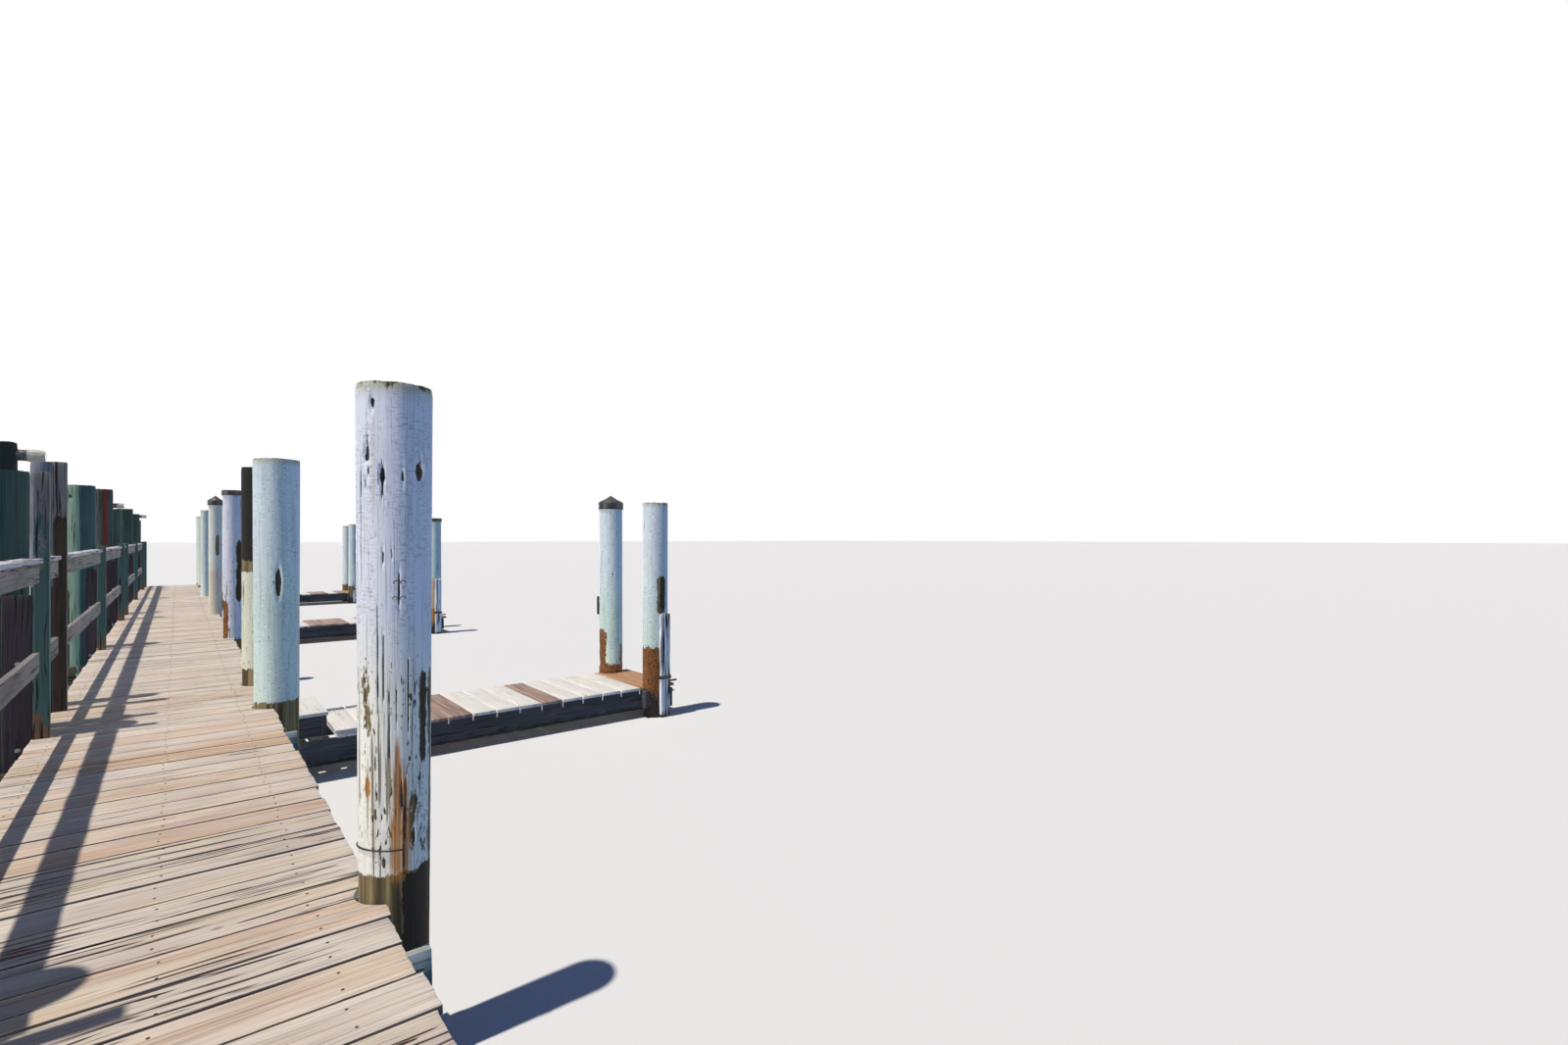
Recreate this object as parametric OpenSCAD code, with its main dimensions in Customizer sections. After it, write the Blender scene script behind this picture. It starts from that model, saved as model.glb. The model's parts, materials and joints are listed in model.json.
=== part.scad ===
// Timber jetty: a narrow boarded walkway on round piles, with an open two-rail
// fence along its left side and lower finger piers between the berths on its right.
// Y runs along the walkway, X across it towards the berths, Z up from the water line.

/* [Walkway] */
// Distance from one bay line to the next
bay = 5070; // [4600:10:5600]
// Width of the boarded deck
deck_w = 1495; // [1400:5:1700]
// Top of the deck above the water line
deck_top = 740; // [700:5:900]
// Thickness of the deck boards
board_t = 38; // [28:1:50]
// How far the deck runs on past the first and the last piles
overhang = 450; // [400:5:700]

/* [Framing under the deck] */
// Depth of the stringers that carry the boards
stringer_h = 190; // [150:5:220]
// Thickness of the stringers
stringer_t = 50; // [38:1:65]
// Distance of the right stringer's centre from the right edge of the deck
right_stringer_in = 240; // [235:1:260]
// Middle stringer's place beside the centre line
middle_stringer_x = 30; // [-60:1:60]
// Depth of the cap boards that clamp the piles
cap_h = 240; // [200:5:260]
// Thickness of the cap boards
cap_t = 60; // [45:1:75]
// How far the cap boards reach past the right edge of the deck
cap_out_right = 165; // [100:5:220]
// How far the cap boards reach past the left edge of the deck
cap_out_left = 340; // [330:5:400]

/* [Piles] */
// Share of a pile's radius that is left where a board is let into it
seat_share = 0.85; // [0.8:0.01:0.9]
// Gap between a pile and the boards cut round it
pile_gap = 8; // [5:1:20]
// Extra height of the right piles over the listed heights
right_pile_extra = 0; // [0:10:200]
// Extra height of the left piles over the listed heights
left_pile_extra = 0; // [0:10:200]

/* [Slim pile behind the left pile at the first finger] */
// Height of its top above the water line
slim_pile_h = 2990; // [2900:10:3100]
// Its radius at the top
slim_pile_r = 120; // [110:1:122]
// How far it narrows down to its foot
slim_pile_taper = 5; // [0:1:10]
// How far its centre is past the left edge of the deck
slim_pile_out = 228; // [215:1:228]
// Least gap between it and the left pile in front of it
slim_pile_gap = 4; // [3:1:6]

/* [Fence] */
// Side of the square fence posts
post_w = 89; // [80:1:95]
// Distance of the posts from the left edge of the deck
post_in = 20; // [15:1:30]
// Distance from a pile's centre back to its post's centre
post_back = 330; // [300:5:360]
// Top of the fence above the deck
fence_h = 1350; // [1200:10:1450]
// Depth of the top rail
top_rail_h = 150; // [120:5:185]
// Depth of the middle rail
middle_rail_h = 160; // [120:5:185]
// Top of the middle rail above the deck
middle_rail_top = 650; // [550:10:750]
// Thickness of the rails
rail_t = 38; // [30:1:45]
// Width of the board laid flat on the top rail
rail_cap_w = 140; // [120:1:150]
// Thickness of the board laid flat on the top rail
rail_cap_t = 38; // [30:1:45]
// How far the flat board reaches out over the water
rail_cap_out = 55; // [40:1:60]
// Height of the short posts above the deck
short_post_h = 1400; // [1300:10:1500]
// Height of the tall posts above the deck
tall_post_h = 2000; // [1700:10:2200]

/* [Planks beside the left piles] */
// Width of one plank
plank_w = 138; // [120:1:145]
// Thickness of one plank
plank_t = 38; // [30:1:45]
// Gap between the two planks
plank_gap = 4; // [2:1:8]
// Top of the planks above the deck
plank_top = 1080; // [900:10:1140]

/* [Finger piers] */
// Top of a finger's deck above the water line
finger_top = 380; // [360:5:420]
// Width of a finger's deck
finger_w = 1270; // [1150:5:1350]
// Reach of a finger past the walkway's right edge
finger_reach = 4205; // [3800:5:4600]
// Where a finger's boards begin past the walkway's right edge
finger_start = 490; // [470:5:560]
// Distance of the main piles beside a finger from its centre line
pair_half = 640; // [620:5:700]
// Depth of a finger's beams
finger_beam_h = 240; // [200:5:250]
// Thickness of a finger's beams
finger_beam_t = 60; // [45:1:70]
// How far a finger's boards overhang its side beams
finger_lip = 25; // [15:1:40]
// Distance of the end piles from the outer end of a finger
end_pile_in = 260; // [250:5:320]
// How far the end piles' centres stand inside a finger's edges
end_pile_side_in = 25; // [0:5:60]
// How far the end cap boards reach past the end piles' centres
end_cap_over = 90; // [60:5:130]

/* [Steps down to the fingers] */
// Width of a step
step_w = 870; // [760:5:880]
// Height of a step's top above a finger's deck
step_rise = 190; // [150:5:210]
// Gap between the walkway's edge and a step's tread
step_gap = 6; // [4:1:12]
// Reach of a step past the walkway's right edge
step_out = 450; // [430:5:465]
// How far a tread overhangs its sides
step_lip = 12; // [8:1:20]

/* [Fender boards] */
// Width of a fender board
fender_w = 140; // [120:1:150]
// Thickness of a fender board
fender_t = 45; // [35:1:50]
// Top of a fender board above the water line
fender_top = 1300; // [1100:10:1500]
// Bottom of a fender board above the water line
fender_foot = 20; // [10:5:60]
// How far a fender board's centre is beside its pile's centre
fender_side = 40; // [20:5:60]

/* [Pile hoods] */
// Thickness of a hood's skirt
hood_wall = 12; // [8:1:14]
// Gap between a hood and its pile
hood_gap = 0.3; // [0.2:0.1:1]
// Depth of a cone hood's skirt
hood_skirt = 90; // [60:5:120]
// Height of a cone hood above its pile
hood_rise = 110; // [80:5:160]
// Depth of a flat hood's skirt
flat_skirt = 72; // [40:2:90]
// Thickness of a flat hood's top
flat_top = 12; // [8:1:20]

/* [Lamps] */
// Radius of a lamp's glass jar
lamp_r = 50; // [35:1:55]
// Length of a lamp's glass jar
lamp_len = 100; // [90:5:150]
// Side of the bracket block on the pile
bracket_w = 90; // [80:1:110]
// How far the bracket block stands out from the pile
bracket_out = 50; // [50:5:90]
// Distance of the lamp on the slim pile below its top
lamp_down = 98; // [70:2:160]

/* [Hidden] */
$fn = 64;
cut = 1;

// Bay lines 0 to 6. A finger leaves the walkway at lines 2, 4 and 6, between two
// piles, and the other lines have one pile on each side.
bays = 6;
function has_finger(k) = k > 0 && k % 2 == 0;
function finger_y(n) = 2 * n * bay;
bent_y = [for (k = [0:bays]) for (d = has_finger(k) ? [-pair_half, pair_half] : [0]) k * bay + d];
last = len(bent_y) - 1;

// One row for each pile from the near end on: centre past the deck's edge, height of
// its top, radius at the top, radius at the foot. No two driven piles are alike.
right_pile_rows = [
    [20, 2880, 150, 138], [55, 2890, 149, 134], [25, 2950, 178, 168], [-15, 2970, 150, 140],
    [-25, 2955, 118, 112], [-85, 2980, 112, 108], [-50, 2870, 114, 110], [-100, 2965, 108, 104],
    [-70, 2900, 130, 120], [-90, 2935, 115, 110]
];
left_pile_rows = [
    [160, 2780, 150, 140], [165, 2800, 155, 145], [170, 2750, 160, 148], [55, 2925, 100, 98],
    [180, 2960, 170, 158], [200, 3140, 140, 132], [155, 2820, 140, 132], [145, 2960, 155, 145],
    [155, 2950, 150, 140], [155, 2790, 145, 138]
];
// Height of the top, radius at the top and at the foot: near pile, then far pile
finger_pile_rows = [
    [[2690, 162, 158], [2730, 158, 162]],
    [[2700, 140, 150], [2650, 145, 150]],
    [[2720, 145, 150], [2680, 140, 148]]
];
// Tall posts: number, height over the tall height, how much nearer to its pile it stands
tall_posts = [[1, 0, 0], [2, 0, 180], [3, 165, 0]];
// Lamps on left piles: number of the pile, distance of the lamp below its top
lamp_rows = [[5, 300], [8, 70]];
cone_hood_piles = [5];
flat_hood_piles = [4];

right_edge = deck_w / 2;
left_edge = -deck_w / 2;
near_end = -overhang;
far_end = bent_y[last] + overhang;
stringer_top = deck_top - board_t;
cap_top = stringer_top - stringer_h;
cap_foot = cap_top - cap_h;
beam_top = finger_top - board_t;
beam_foot = beam_top - finger_beam_h;
finger_end = right_edge + finger_reach;
end_pile_x = finger_end - end_pile_in;
end_pile_y = finger_w / 2 - end_pile_side_in;
step_top = finger_top + step_rise;
step_x = right_edge + step_out;
post_x = left_edge + post_in;
rail_cap_top = deck_top + fence_h;
rail_top = rail_cap_top - rail_cap_t;
fence_end = far_end;

// The origin is the middle of the whole jetty's footprint, on the water line
left_reach = max(cap_out_left, slim_pile_out + slim_pile_r,
                 max([for (row = left_pile_rows) row[0] + max(row[2], row[3])]));
frame_x = (left_edge - left_reach + finger_end) / 2;
frame_y = (near_end + far_end) / 2;

function right_x(i) = right_edge + right_pile_rows[i][0];
function left_x(i) = left_edge - left_pile_rows[i][0];
function pile_top(row, extra) = row[1] + extra;
function radius_at(row, extra, z) = row[3] + (row[2] - row[3]) * z / (row[1] + extra);
function right_radius(i, z) = radius_at(right_pile_rows[i], right_pile_extra, z);
function left_radius(i, z) = radius_at(left_pile_rows[i], left_pile_extra, z);
function cap_seat(i) = seat_share * min(right_radius(i, cap_foot), left_radius(i, cap_foot));
function tall_row(i) = [for (row = tall_posts) if (row[0] == i) row];
function is_tall(i) = len(tall_row(i)) > 0;
function post_y(i) = bent_y[i] - post_back + (is_tall(i) ? tall_row(i)[0][2] : 0);
function post_top(i) = deck_top + (is_tall(i) ? tall_post_h + tall_row(i)[0][1] : short_post_h);

// The slim pile is let into the far cap board of the first finger's near bent
slim_bent = 2;
slim_x = left_edge - slim_pile_out;
slim_foot_r = slim_pile_r - slim_pile_taper;
slim_face = bent_y[slim_bent] + cap_seat(slim_bent) + cap_t;
slim_apart = left_pile_rows[slim_bent][2] + slim_pile_r + slim_pile_gap;
slim_aside = slim_pile_out - left_pile_rows[slim_bent][0];
slim_y = max(slim_face + seat_share * slim_foot_r,
             bent_y[slim_bent] + sqrt(slim_apart * slim_apart - slim_aside * slim_aside));

// Finger n leaves between the main piles 3n-1 and 3n
function pair(n) = [3 * n - 1, 3 * n];
function header_x(n) = min([for (i = pair(n)) right_x(i) + seat_share * right_radius(i, beam_foot)]);
function header_out(n) = max([for (i = pair(n)) right_x(i) + right_radius(i, beam_top)]) + pile_gap;
function root_x(n) = max(header_out(n), right_edge + cap_out_right) + cut;
function end_pile_seat(n) = seat_share * min([for (row = finger_pile_rows[n - 1]) min(row[1], row[2])]);
function end_radius(row, z) = row[2] + (row[1] - row[2]) * z / row[0];

module in_frame() {
    translate([-frame_x, -frame_y, 0]) children();
}

module block(from, to) {
    translate(from) cube([for (k = [0:2]) to[k] - from[k]]);
}

// A round pile with the flats that boards are let into
module pile(x, y, h, r_top, r_foot) {
    difference() {
        translate([x, y, 0]) cylinder(h = h, r1 = r_foot, r2 = r_top);
        children();
    }
}

// The two flats for the cap boards, on the sides that face along the walkway
module cap_flats(x, y, seat, reach) {
    for (side = [-1, 1])
        translate([x, y + side * (seat + reach / 2), cap_foot + cap_h / 2])
            cube([2 * reach, reach, cap_h], center = true);
}

module right_pile_body(i, gap = 0) {
    row = right_pile_rows[i];
    translate([right_x(i), bent_y[i], 0])
        cylinder(h = pile_top(row, right_pile_extra), r1 = row[3] + gap, r2 = row[2] + gap);
}

module left_pile_body(i, gap = 0) {
    row = left_pile_rows[i];
    translate([left_x(i), bent_y[i], 0])
        cylinder(h = pile_top(row, left_pile_extra), r1 = row[3] + gap, r2 = row[2] + gap);
}

module right_piles() {
    color("lightcyan") in_frame() {
        for (i = [0:last]) {
            row = right_pile_rows[i];
            n = floor((i + 1) / 3);
            reach = 2 * row[2];
            pile(right_x(i), bent_y[i], pile_top(row, right_pile_extra), row[2], row[3]) {
                cap_flats(right_x(i), bent_y[i], cap_seat(i), reach);
                if (i > 1 && i % 3 != 1)
                    translate([header_x(n), bent_y[i] - reach, beam_foot])
                        cube([reach, 2 * reach, cap_foot - beam_foot]);
            }
        }
    }
}

module left_piles() {
    color("darkseagreen") in_frame() {
        for (i = [0:last]) {
            row = left_pile_rows[i];
            reach = 2 * row[2];
            pile(left_x(i), bent_y[i], pile_top(row, left_pile_extra), row[2], row[3]) {
                cap_flats(left_x(i), bent_y[i], cap_seat(i), reach);
                translate([left_x(i) - reach, bent_y[i] - cap_seat(i) - reach, cap_top - cut])
                    cube([2 * reach, reach, deck_top + plank_top - cap_top + cut]);
                rail_flat(reach, rail_top, top_rail_h);
                rail_flat(reach, deck_top + middle_rail_top, middle_rail_h);
            }
        }
        slim_pile();
    }
}

// The flat that a rail lies against where a pile stands in its way
module rail_flat(reach, top, h) {
    translate([post_x, -overhang, top - h]) cube([reach, far_end + overhang, h]);
}

module slim_pile() {
    pile(slim_x, slim_y, slim_pile_h, slim_pile_r, slim_foot_r)
        translate([slim_x - slim_pile_r, slim_face - 2 * slim_pile_r, cap_foot])
            cube([2 * slim_pile_r, 2 * slim_pile_r, cap_h]);
}

// Boards of one bay as a single slab, cut round the piles and the fence posts
module deck_bay(n) {
    from = n == 1 ? near_end : (n - 1) * bay;
    to = n == bays ? far_end : n * bay;
    color("wheat") in_frame() difference() {
        block([left_edge, from, stringer_top], [right_edge, to, deck_top]);
        for (i = [0:last]) {
            right_pile_body(i, pile_gap);
            left_pile_body(i, pile_gap);
            post_notch(post_y(i));
        }
        post_notch(fence_end - post_w / 2);
    }
}

module post_notch(y) {
    translate([left_edge - cut, y - post_w / 2 - pile_gap / 2, stringer_top - cut])
        cube([post_in + post_w + cut, post_w + pile_gap, board_t + 2 * cut]);
}

module stringer(x) {
    color("tan") in_frame()
        block([x - stringer_t / 2, near_end, cap_top], [x + stringer_t / 2, far_end, stringer_top]);
}

module stringer_left() {
    stringer(post_x + post_w + stringer_t / 2);
}

module stringer_middle() {
    stringer(middle_stringer_x);
}

module stringer_right() {
    stringer(right_edge - right_stringer_in);
}

// A pair of boards clamps the two piles of each bent and carries the stringers
module bent_caps() {
    color("peru") in_frame() for (i = [0:last], side = [-1, 1])
        translate([left_edge - cap_out_left, bent_y[i] + side * (cap_seat(i) + cap_t / 2) - cap_t / 2, cap_foot])
            cube([cap_out_left + deck_w + cap_out_right, cap_t, cap_h]);
}

module fence_post(y, top) {
    translate([post_x, y - post_w / 2, cap_top]) cube([post_w, post_w, top - cap_top]);
}

module fence_posts() {
    color("olivedrab") in_frame() {
        for (i = [0:last]) fence_post(post_y(i), post_top(i));
        fence_post(fence_end - post_w / 2, deck_top + short_post_h);
    }
}

// A board between each two neighbouring posts
module rail(x, w, top, h) {
    ys = [for (i = [0:last]) post_y(i), fence_end - post_w / 2];
    for (i = [0:last])
        block([x, ys[i] + post_w / 2, top - h], [x + w, ys[i + 1] - post_w / 2, top]);
}

module top_rail() {
    color("tan") in_frame() rail(post_x, rail_t, rail_top, top_rail_h);
}

module middle_rail() {
    color("tan") in_frame() rail(post_x, rail_t, deck_top + middle_rail_top, middle_rail_h);
}

module rail_cap() {
    color("gainsboro") in_frame() difference() {
        rail(left_edge - rail_cap_out, rail_cap_w, rail_cap_top, rail_cap_t);
        for (i = [0:last]) left_pile_body(i, pile_gap);
    }
}

module pile_planks() {
    color("dimgray") in_frame() for (i = [0:last], k = [0, 1])
        translate([left_edge - plank_w - k * (plank_w + plank_gap), bent_y[i] - cap_seat(i) - plank_t, cap_top])
            cube([plank_w, plank_t, deck_top + plank_top - cap_top]);
}

// One finger pier: everything is placed from its centre line
module at_finger(n) {
    in_frame() translate([0, finger_y(n), 0]) children();
}

function finger_pile_y(side) = side * end_pile_y;

module finger_deck(n) {
    rows = finger_pile_rows[n - 1];
    color("whitesmoke") at_finger(n) difference() {
        block([right_edge + finger_start, -finger_w / 2, beam_top], [finger_end, finger_w / 2, finger_top]);
        for (k = [0, 1])
            translate([end_pile_x, finger_pile_y(2 * k - 1), 0])
                cylinder(h = rows[k][0], r1 = rows[k][2] + pile_gap, r2 = rows[k][1] + pile_gap);
    }
}

module finger_beams(n) {
    out = finger_w / 2 - finger_lip;
    color("dimgray") at_finger(n) for (side = [-1, 1])
        block([header_out(n), side * out - (side > 0 ? finger_beam_t : 0), beam_foot],
              [end_pile_x - end_pile_seat(n) - finger_beam_t, side * out + (side > 0 ? 0 : finger_beam_t), beam_top]);
}

// Cross boards: the header let into the main piles, the two bearers under the step,
// and the pair that clamps the end piles
module finger_bearers(n) {
    inner = finger_w / 2 - finger_lip - finger_beam_t;
    seat = end_pile_seat(n);
    reach = end_pile_y + end_cap_over;
    color("dimgray") at_finger(n) {
        block([header_x(n), -pair_half - end_cap_over, beam_foot], [header_out(n), pair_half + end_cap_over, cap_foot]);
        block([root_x(n), -inner, beam_foot], [root_x(n) + finger_beam_t, inner, beam_top]);
        block([step_x - finger_beam_t, -inner, beam_foot], [step_x, inner, beam_top]);
        for (side = [-1, 1])
            translate([end_pile_x + side * (seat + finger_beam_t / 2) - finger_beam_t / 2, -reach, beam_foot])
                cube([finger_beam_t, 2 * reach, finger_beam_h]);
    }
}

module finger_piles(n) {
    rows = finger_pile_rows[n - 1];
    seat = end_pile_seat(n);
    color("lightcyan") at_finger(n) for (k = [0, 1]) {
        y = finger_pile_y(2 * k - 1);
        reach = 2 * max(rows[k][1], rows[k][2]);
        pile(end_pile_x, y, rows[k][0], rows[k][1], rows[k][2]) {
            for (side = [-1, 1])
                translate([end_pile_x + side * (seat + reach / 2), y, beam_foot + finger_beam_h / 2])
                    cube([reach, 2 * reach, finger_beam_h], center = true);
            if (k == 0)
                translate([end_pile_x - reach, y - seat - reach, -cut])
                    cube([2 * reach, reach, fender_top + cut]);
        }
    }
}

module step_tread(n) {
    color("whitesmoke") at_finger(n)
        block([right_edge + step_gap, -step_w / 2, step_top - board_t], [step_x, step_w / 2, step_top]);
}

// Two sides and a riser under the tread, standing on the bearers
module step_box(n) {
    half = step_w / 2 - step_lip;
    front = step_x - step_lip;
    color("slategray") at_finger(n) {
        for (side = [-1, 1])
            block([root_x(n), side * half - (side > 0 ? board_t : 0), beam_top],
                  [front - board_t - cut, side * half + (side > 0 ? 0 : board_t), step_top - board_t]);
        block([front - board_t, -half, beam_top], [front, half, step_top - board_t]);
    }
}

module fender_boards() {
    color("gainsboro") for (n = [1:3]) at_finger(n)
        translate([end_pile_x + fender_side - fender_w / 2, finger_pile_y(-1) - end_pile_seat(n) - fender_t, fender_foot])
            cube([fender_w, fender_t, fender_top - fender_foot]);
}

module cone_hood(x, y, top, r) {
    translate([x, y, 0]) difference() {
        union() {
            translate([0, 0, top - hood_skirt]) cylinder(h = hood_skirt + hood_gap, r = r + hood_gap + hood_wall);
            translate([0, 0, top + hood_gap]) cylinder(h = hood_rise, r1 = r + hood_gap + hood_wall, r2 = hood_wall);
        }
        translate([0, 0, top - hood_skirt - cut]) cylinder(h = hood_skirt + cut + hood_gap, r = r + hood_gap);
    }
}

module cone_hoods() {
    color("black") {
        in_frame() for (i = cone_hood_piles)
            cone_hood(right_x(i), bent_y[i], pile_top(right_pile_rows[i], right_pile_extra), right_pile_rows[i][2]);
        at_finger(1)
            cone_hood(end_pile_x, finger_pile_y(1), finger_pile_rows[0][1][0], finger_hood_r(1, 1));
    }
}

function finger_hood_r(n, k) =
    end_radius(finger_pile_rows[n - 1][k], finger_pile_rows[n - 1][k][0] - hood_skirt);

module flat_hood(x, y, top, r) {
    translate([x, y, 0]) difference() {
        translate([0, 0, top - flat_skirt])
            cylinder(h = flat_skirt + hood_gap + flat_top, r = r + hood_gap + hood_wall);
        translate([0, 0, top - flat_skirt - cut]) cylinder(h = flat_skirt + cut + hood_gap, r = r + hood_gap);
    }
}

module flat_hoods() {
    color("black") {
        in_frame() for (i = flat_hood_piles)
            flat_hood(right_x(i), bent_y[i], pile_top(right_pile_rows[i], right_pile_extra), right_pile_rows[i][2]);
        at_finger(2)
            flat_hood(end_pile_x, finger_pile_y(-1), finger_pile_rows[1][0][0],
                      max(finger_pile_rows[1][0][1], finger_hood_r(2, 0)));
    }
}

// One row for each lamp: the middle of its pile, its own height, the pile's radius there
lamp_places = concat(
    [[slim_x, slim_y, slim_pile_h - lamp_down, slim_pile_r]],
    [for (row = lamp_rows) [left_x(row[0]), bent_y[row[0]],
                            pile_top(left_pile_rows[row[0]], left_pile_extra) - row[1], left_pile_rows[row[0]][2]]]
);

module lamp_brackets() {
    color("dimgray") in_frame() for (lamp = lamp_places) difference() {
        block([lamp[0], lamp[1] - bracket_w / 2, lamp[2] - bracket_w / 2],
              [lamp[0] + lamp[3] + bracket_out, lamp[1] + bracket_w / 2, lamp[2] + bracket_w / 2]);
        for (row = lamp_rows) left_pile_body(row[0], hood_gap);
        translate([slim_x, slim_y, 0]) cylinder(h = slim_pile_h, r1 = slim_foot_r + hood_gap, r2 = slim_pile_r + hood_gap);
    }
}

module lamp_jars() {
    color("ivory") in_frame() for (lamp = lamp_places)
        translate([lamp[0] + lamp[3] + bracket_out, lamp[1], lamp[2]]) rotate([0, 90, 0]) cylinder(h = lamp_len, r = lamp_r);
}

deck_bay(1);  // deck_bay_1
deck_bay(2);  // deck_bay_2
deck_bay(3);  // deck_bay_3
deck_bay(4);  // deck_bay_4
deck_bay(5);  // deck_bay_5
deck_bay(6);  // deck_bay_6
stringer_left();
stringer_middle();
stringer_right();
bent_caps();
right_piles();
left_piles();
cone_hoods();
flat_hoods();
fence_posts();
top_rail();
rail_cap();
middle_rail();
pile_planks();
finger_deck(1);  // finger_deck_1
finger_deck(2);  // finger_deck_2
finger_deck(3);  // finger_deck_3
finger_beams(1);  // finger_beams_1
finger_beams(2);  // finger_beams_2
finger_beams(3);  // finger_beams_3
finger_bearers(1);  // finger_bearers_1
finger_bearers(2);  // finger_bearers_2
finger_bearers(3);  // finger_bearers_3
finger_piles(1);  // finger_piles_1
finger_piles(2);  // finger_piles_2
finger_piles(3);  // finger_piles_3
step_tread(1);  // step_tread_1
step_tread(2);  // step_tread_2
step_tread(3);  // step_tread_3
step_box(1);  // step_box_1
step_box(2);  // step_box_2
step_box(3);  // step_box_3
fender_boards();
lamp_brackets();
lamp_jars();
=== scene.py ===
"""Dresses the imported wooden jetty: single weathered boards, peeling painted piles, the open fence, the finger
piers and their small fittings. Lengths are in metres, in the row frame: the walk runs along +Y, its right
edge is at x = -1.18, its top at z = 0.74 and the feet of the piles at z = 0."""

import json
import math
import random

import bmesh
import bpy
import numpy as np
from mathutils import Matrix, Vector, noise

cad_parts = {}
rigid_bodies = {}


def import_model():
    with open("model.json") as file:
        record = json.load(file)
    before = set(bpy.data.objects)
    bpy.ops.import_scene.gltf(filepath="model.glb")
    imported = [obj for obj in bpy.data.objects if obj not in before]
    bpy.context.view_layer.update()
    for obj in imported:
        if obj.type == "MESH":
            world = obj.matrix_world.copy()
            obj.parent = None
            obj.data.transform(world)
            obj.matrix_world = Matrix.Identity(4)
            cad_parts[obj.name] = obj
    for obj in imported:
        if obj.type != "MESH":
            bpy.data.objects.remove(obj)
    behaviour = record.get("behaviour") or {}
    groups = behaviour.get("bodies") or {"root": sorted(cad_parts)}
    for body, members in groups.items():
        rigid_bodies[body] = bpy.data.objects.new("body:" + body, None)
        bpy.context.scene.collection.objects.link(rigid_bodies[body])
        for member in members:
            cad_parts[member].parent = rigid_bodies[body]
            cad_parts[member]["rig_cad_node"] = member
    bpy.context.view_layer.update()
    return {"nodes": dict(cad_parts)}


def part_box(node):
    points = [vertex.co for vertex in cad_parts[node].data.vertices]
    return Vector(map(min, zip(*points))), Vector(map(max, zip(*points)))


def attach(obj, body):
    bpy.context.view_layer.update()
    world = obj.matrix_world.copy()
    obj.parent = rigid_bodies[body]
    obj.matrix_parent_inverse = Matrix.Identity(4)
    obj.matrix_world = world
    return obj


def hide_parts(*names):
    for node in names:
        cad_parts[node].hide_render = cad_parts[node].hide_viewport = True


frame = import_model()

CAMERA_PLACE = (-1.835, -13.86, 2.24)
CAMERA_TURN = math.radians(-40.64)
DECK_TOP = 0.74
BOARD_PITCH, FINGER_PITCH = 0.2414, 0.2477
FINGERS = (1, 2, 3)
STRINGER_LINES = (-2.541, -1.8975, -1.42)
chance = random.Random(43)


def srgb(red, green, blue):
    """A colour given as it looks on a screen, 0 to 255, turned into the light values a shader works in."""
    light = []
    for part in (red, green, blue):
        part = part / 255
        light.append(part / 12.92 if part <= 0.04045 else ((part + 0.055) / 1.055) ** 2.4)
    return (*light, 1.0)


# Camera, floor and light


def place_camera():
    bpy.ops.object.camera_add(location=CAMERA_PLACE, rotation=(math.radians(90), 0, CAMERA_TURN))
    camera = bpy.context.active_object
    camera.data.sensor_width = 36
    camera.data.lens = 16.2225
    camera.data.shift_y = 0.01
    camera.data.clip_end = 2000
    bpy.context.scene.camera = camera


def seen_directly(plan):
    """1 for rays from the camera, a mirror or glass, 0 for rays that carry light between surfaces."""
    path = plan.add("ShaderNodeLightPath").outputs
    seen = [Value(plan, path[f"Is {kind} Ray"]) for kind in ("Camera", "Glossy", "Transmission")]
    return plan.calc("MAXIMUM", plan.calc("MAXIMUM", seen[0], seen[1]), seen[2])


def light_studio():
    """A white surround that lights dimly in blue, a high sun from the left as in the photograph, and soft
    lamps from three sides. Only the sun casts shadows."""
    bpy.context.scene.view_settings.view_transform = "Standard"
    world = bpy.data.worlds.new("studio")
    bpy.context.scene.world = world
    world.use_nodes = True
    world.node_tree.nodes.clear()
    plan = Plan(world.node_tree)
    lighting = plan.run("ShaderNodeBackground", {"Color": (0.16, 0.34, 1.0, 1), "Strength": 0.15})
    surround = plan.run("ShaderNodeBackground", {"Color": (1, 1, 1, 1)})
    mixed = plan.run("ShaderNodeMixShader", {0: seen_directly(plan), 1: lighting, 2: surround})
    plan.add("ShaderNodeOutputWorld", {"Surface": mixed})

    lamps = (
        ("sun", 2.85, 0.8, -17, 0, (1.0, 0.95, 0.88)),
        ("soft_left", 1.72, 10, -90, 8, (1.0, 0.985, 0.96)),
        ("soft_right", 0.7, 10, 90, -45, (0.44, 0.7, 1.0)),
        ("soft_back", 0.7, 10, 90, 90, (0.86, 0.92, 1.0)),
    )
    for name, strength, spread, tilt, swing, colour in lamps:
        bpy.ops.object.light_add(type="SUN", rotation=(0, math.radians(tilt), math.radians(swing)))
        lamp = bpy.context.active_object
        lamp.name = name
        lamp.data.energy = strength
        lamp.data.angle = math.radians(spread)
        lamp.data.color = colour
        lamp.data.use_shadow = name == "sun"


# Shader helpers


class Value:
    """A socket that can take part in sums. Each sign in a sum adds one math node to the plan."""

    def __init__(self, plan, socket):
        self.plan = plan
        self.socket = socket

    def __add__(self, other):
        return self.plan.calc("ADD", self, other)

    def __sub__(self, other):
        return self.plan.calc("SUBTRACT", self, other)

    def __rsub__(self, other):
        return self.plan.calc("SUBTRACT", other, self)

    def __mul__(self, other):
        return self.plan.calc("MULTIPLY", self, other)


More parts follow.
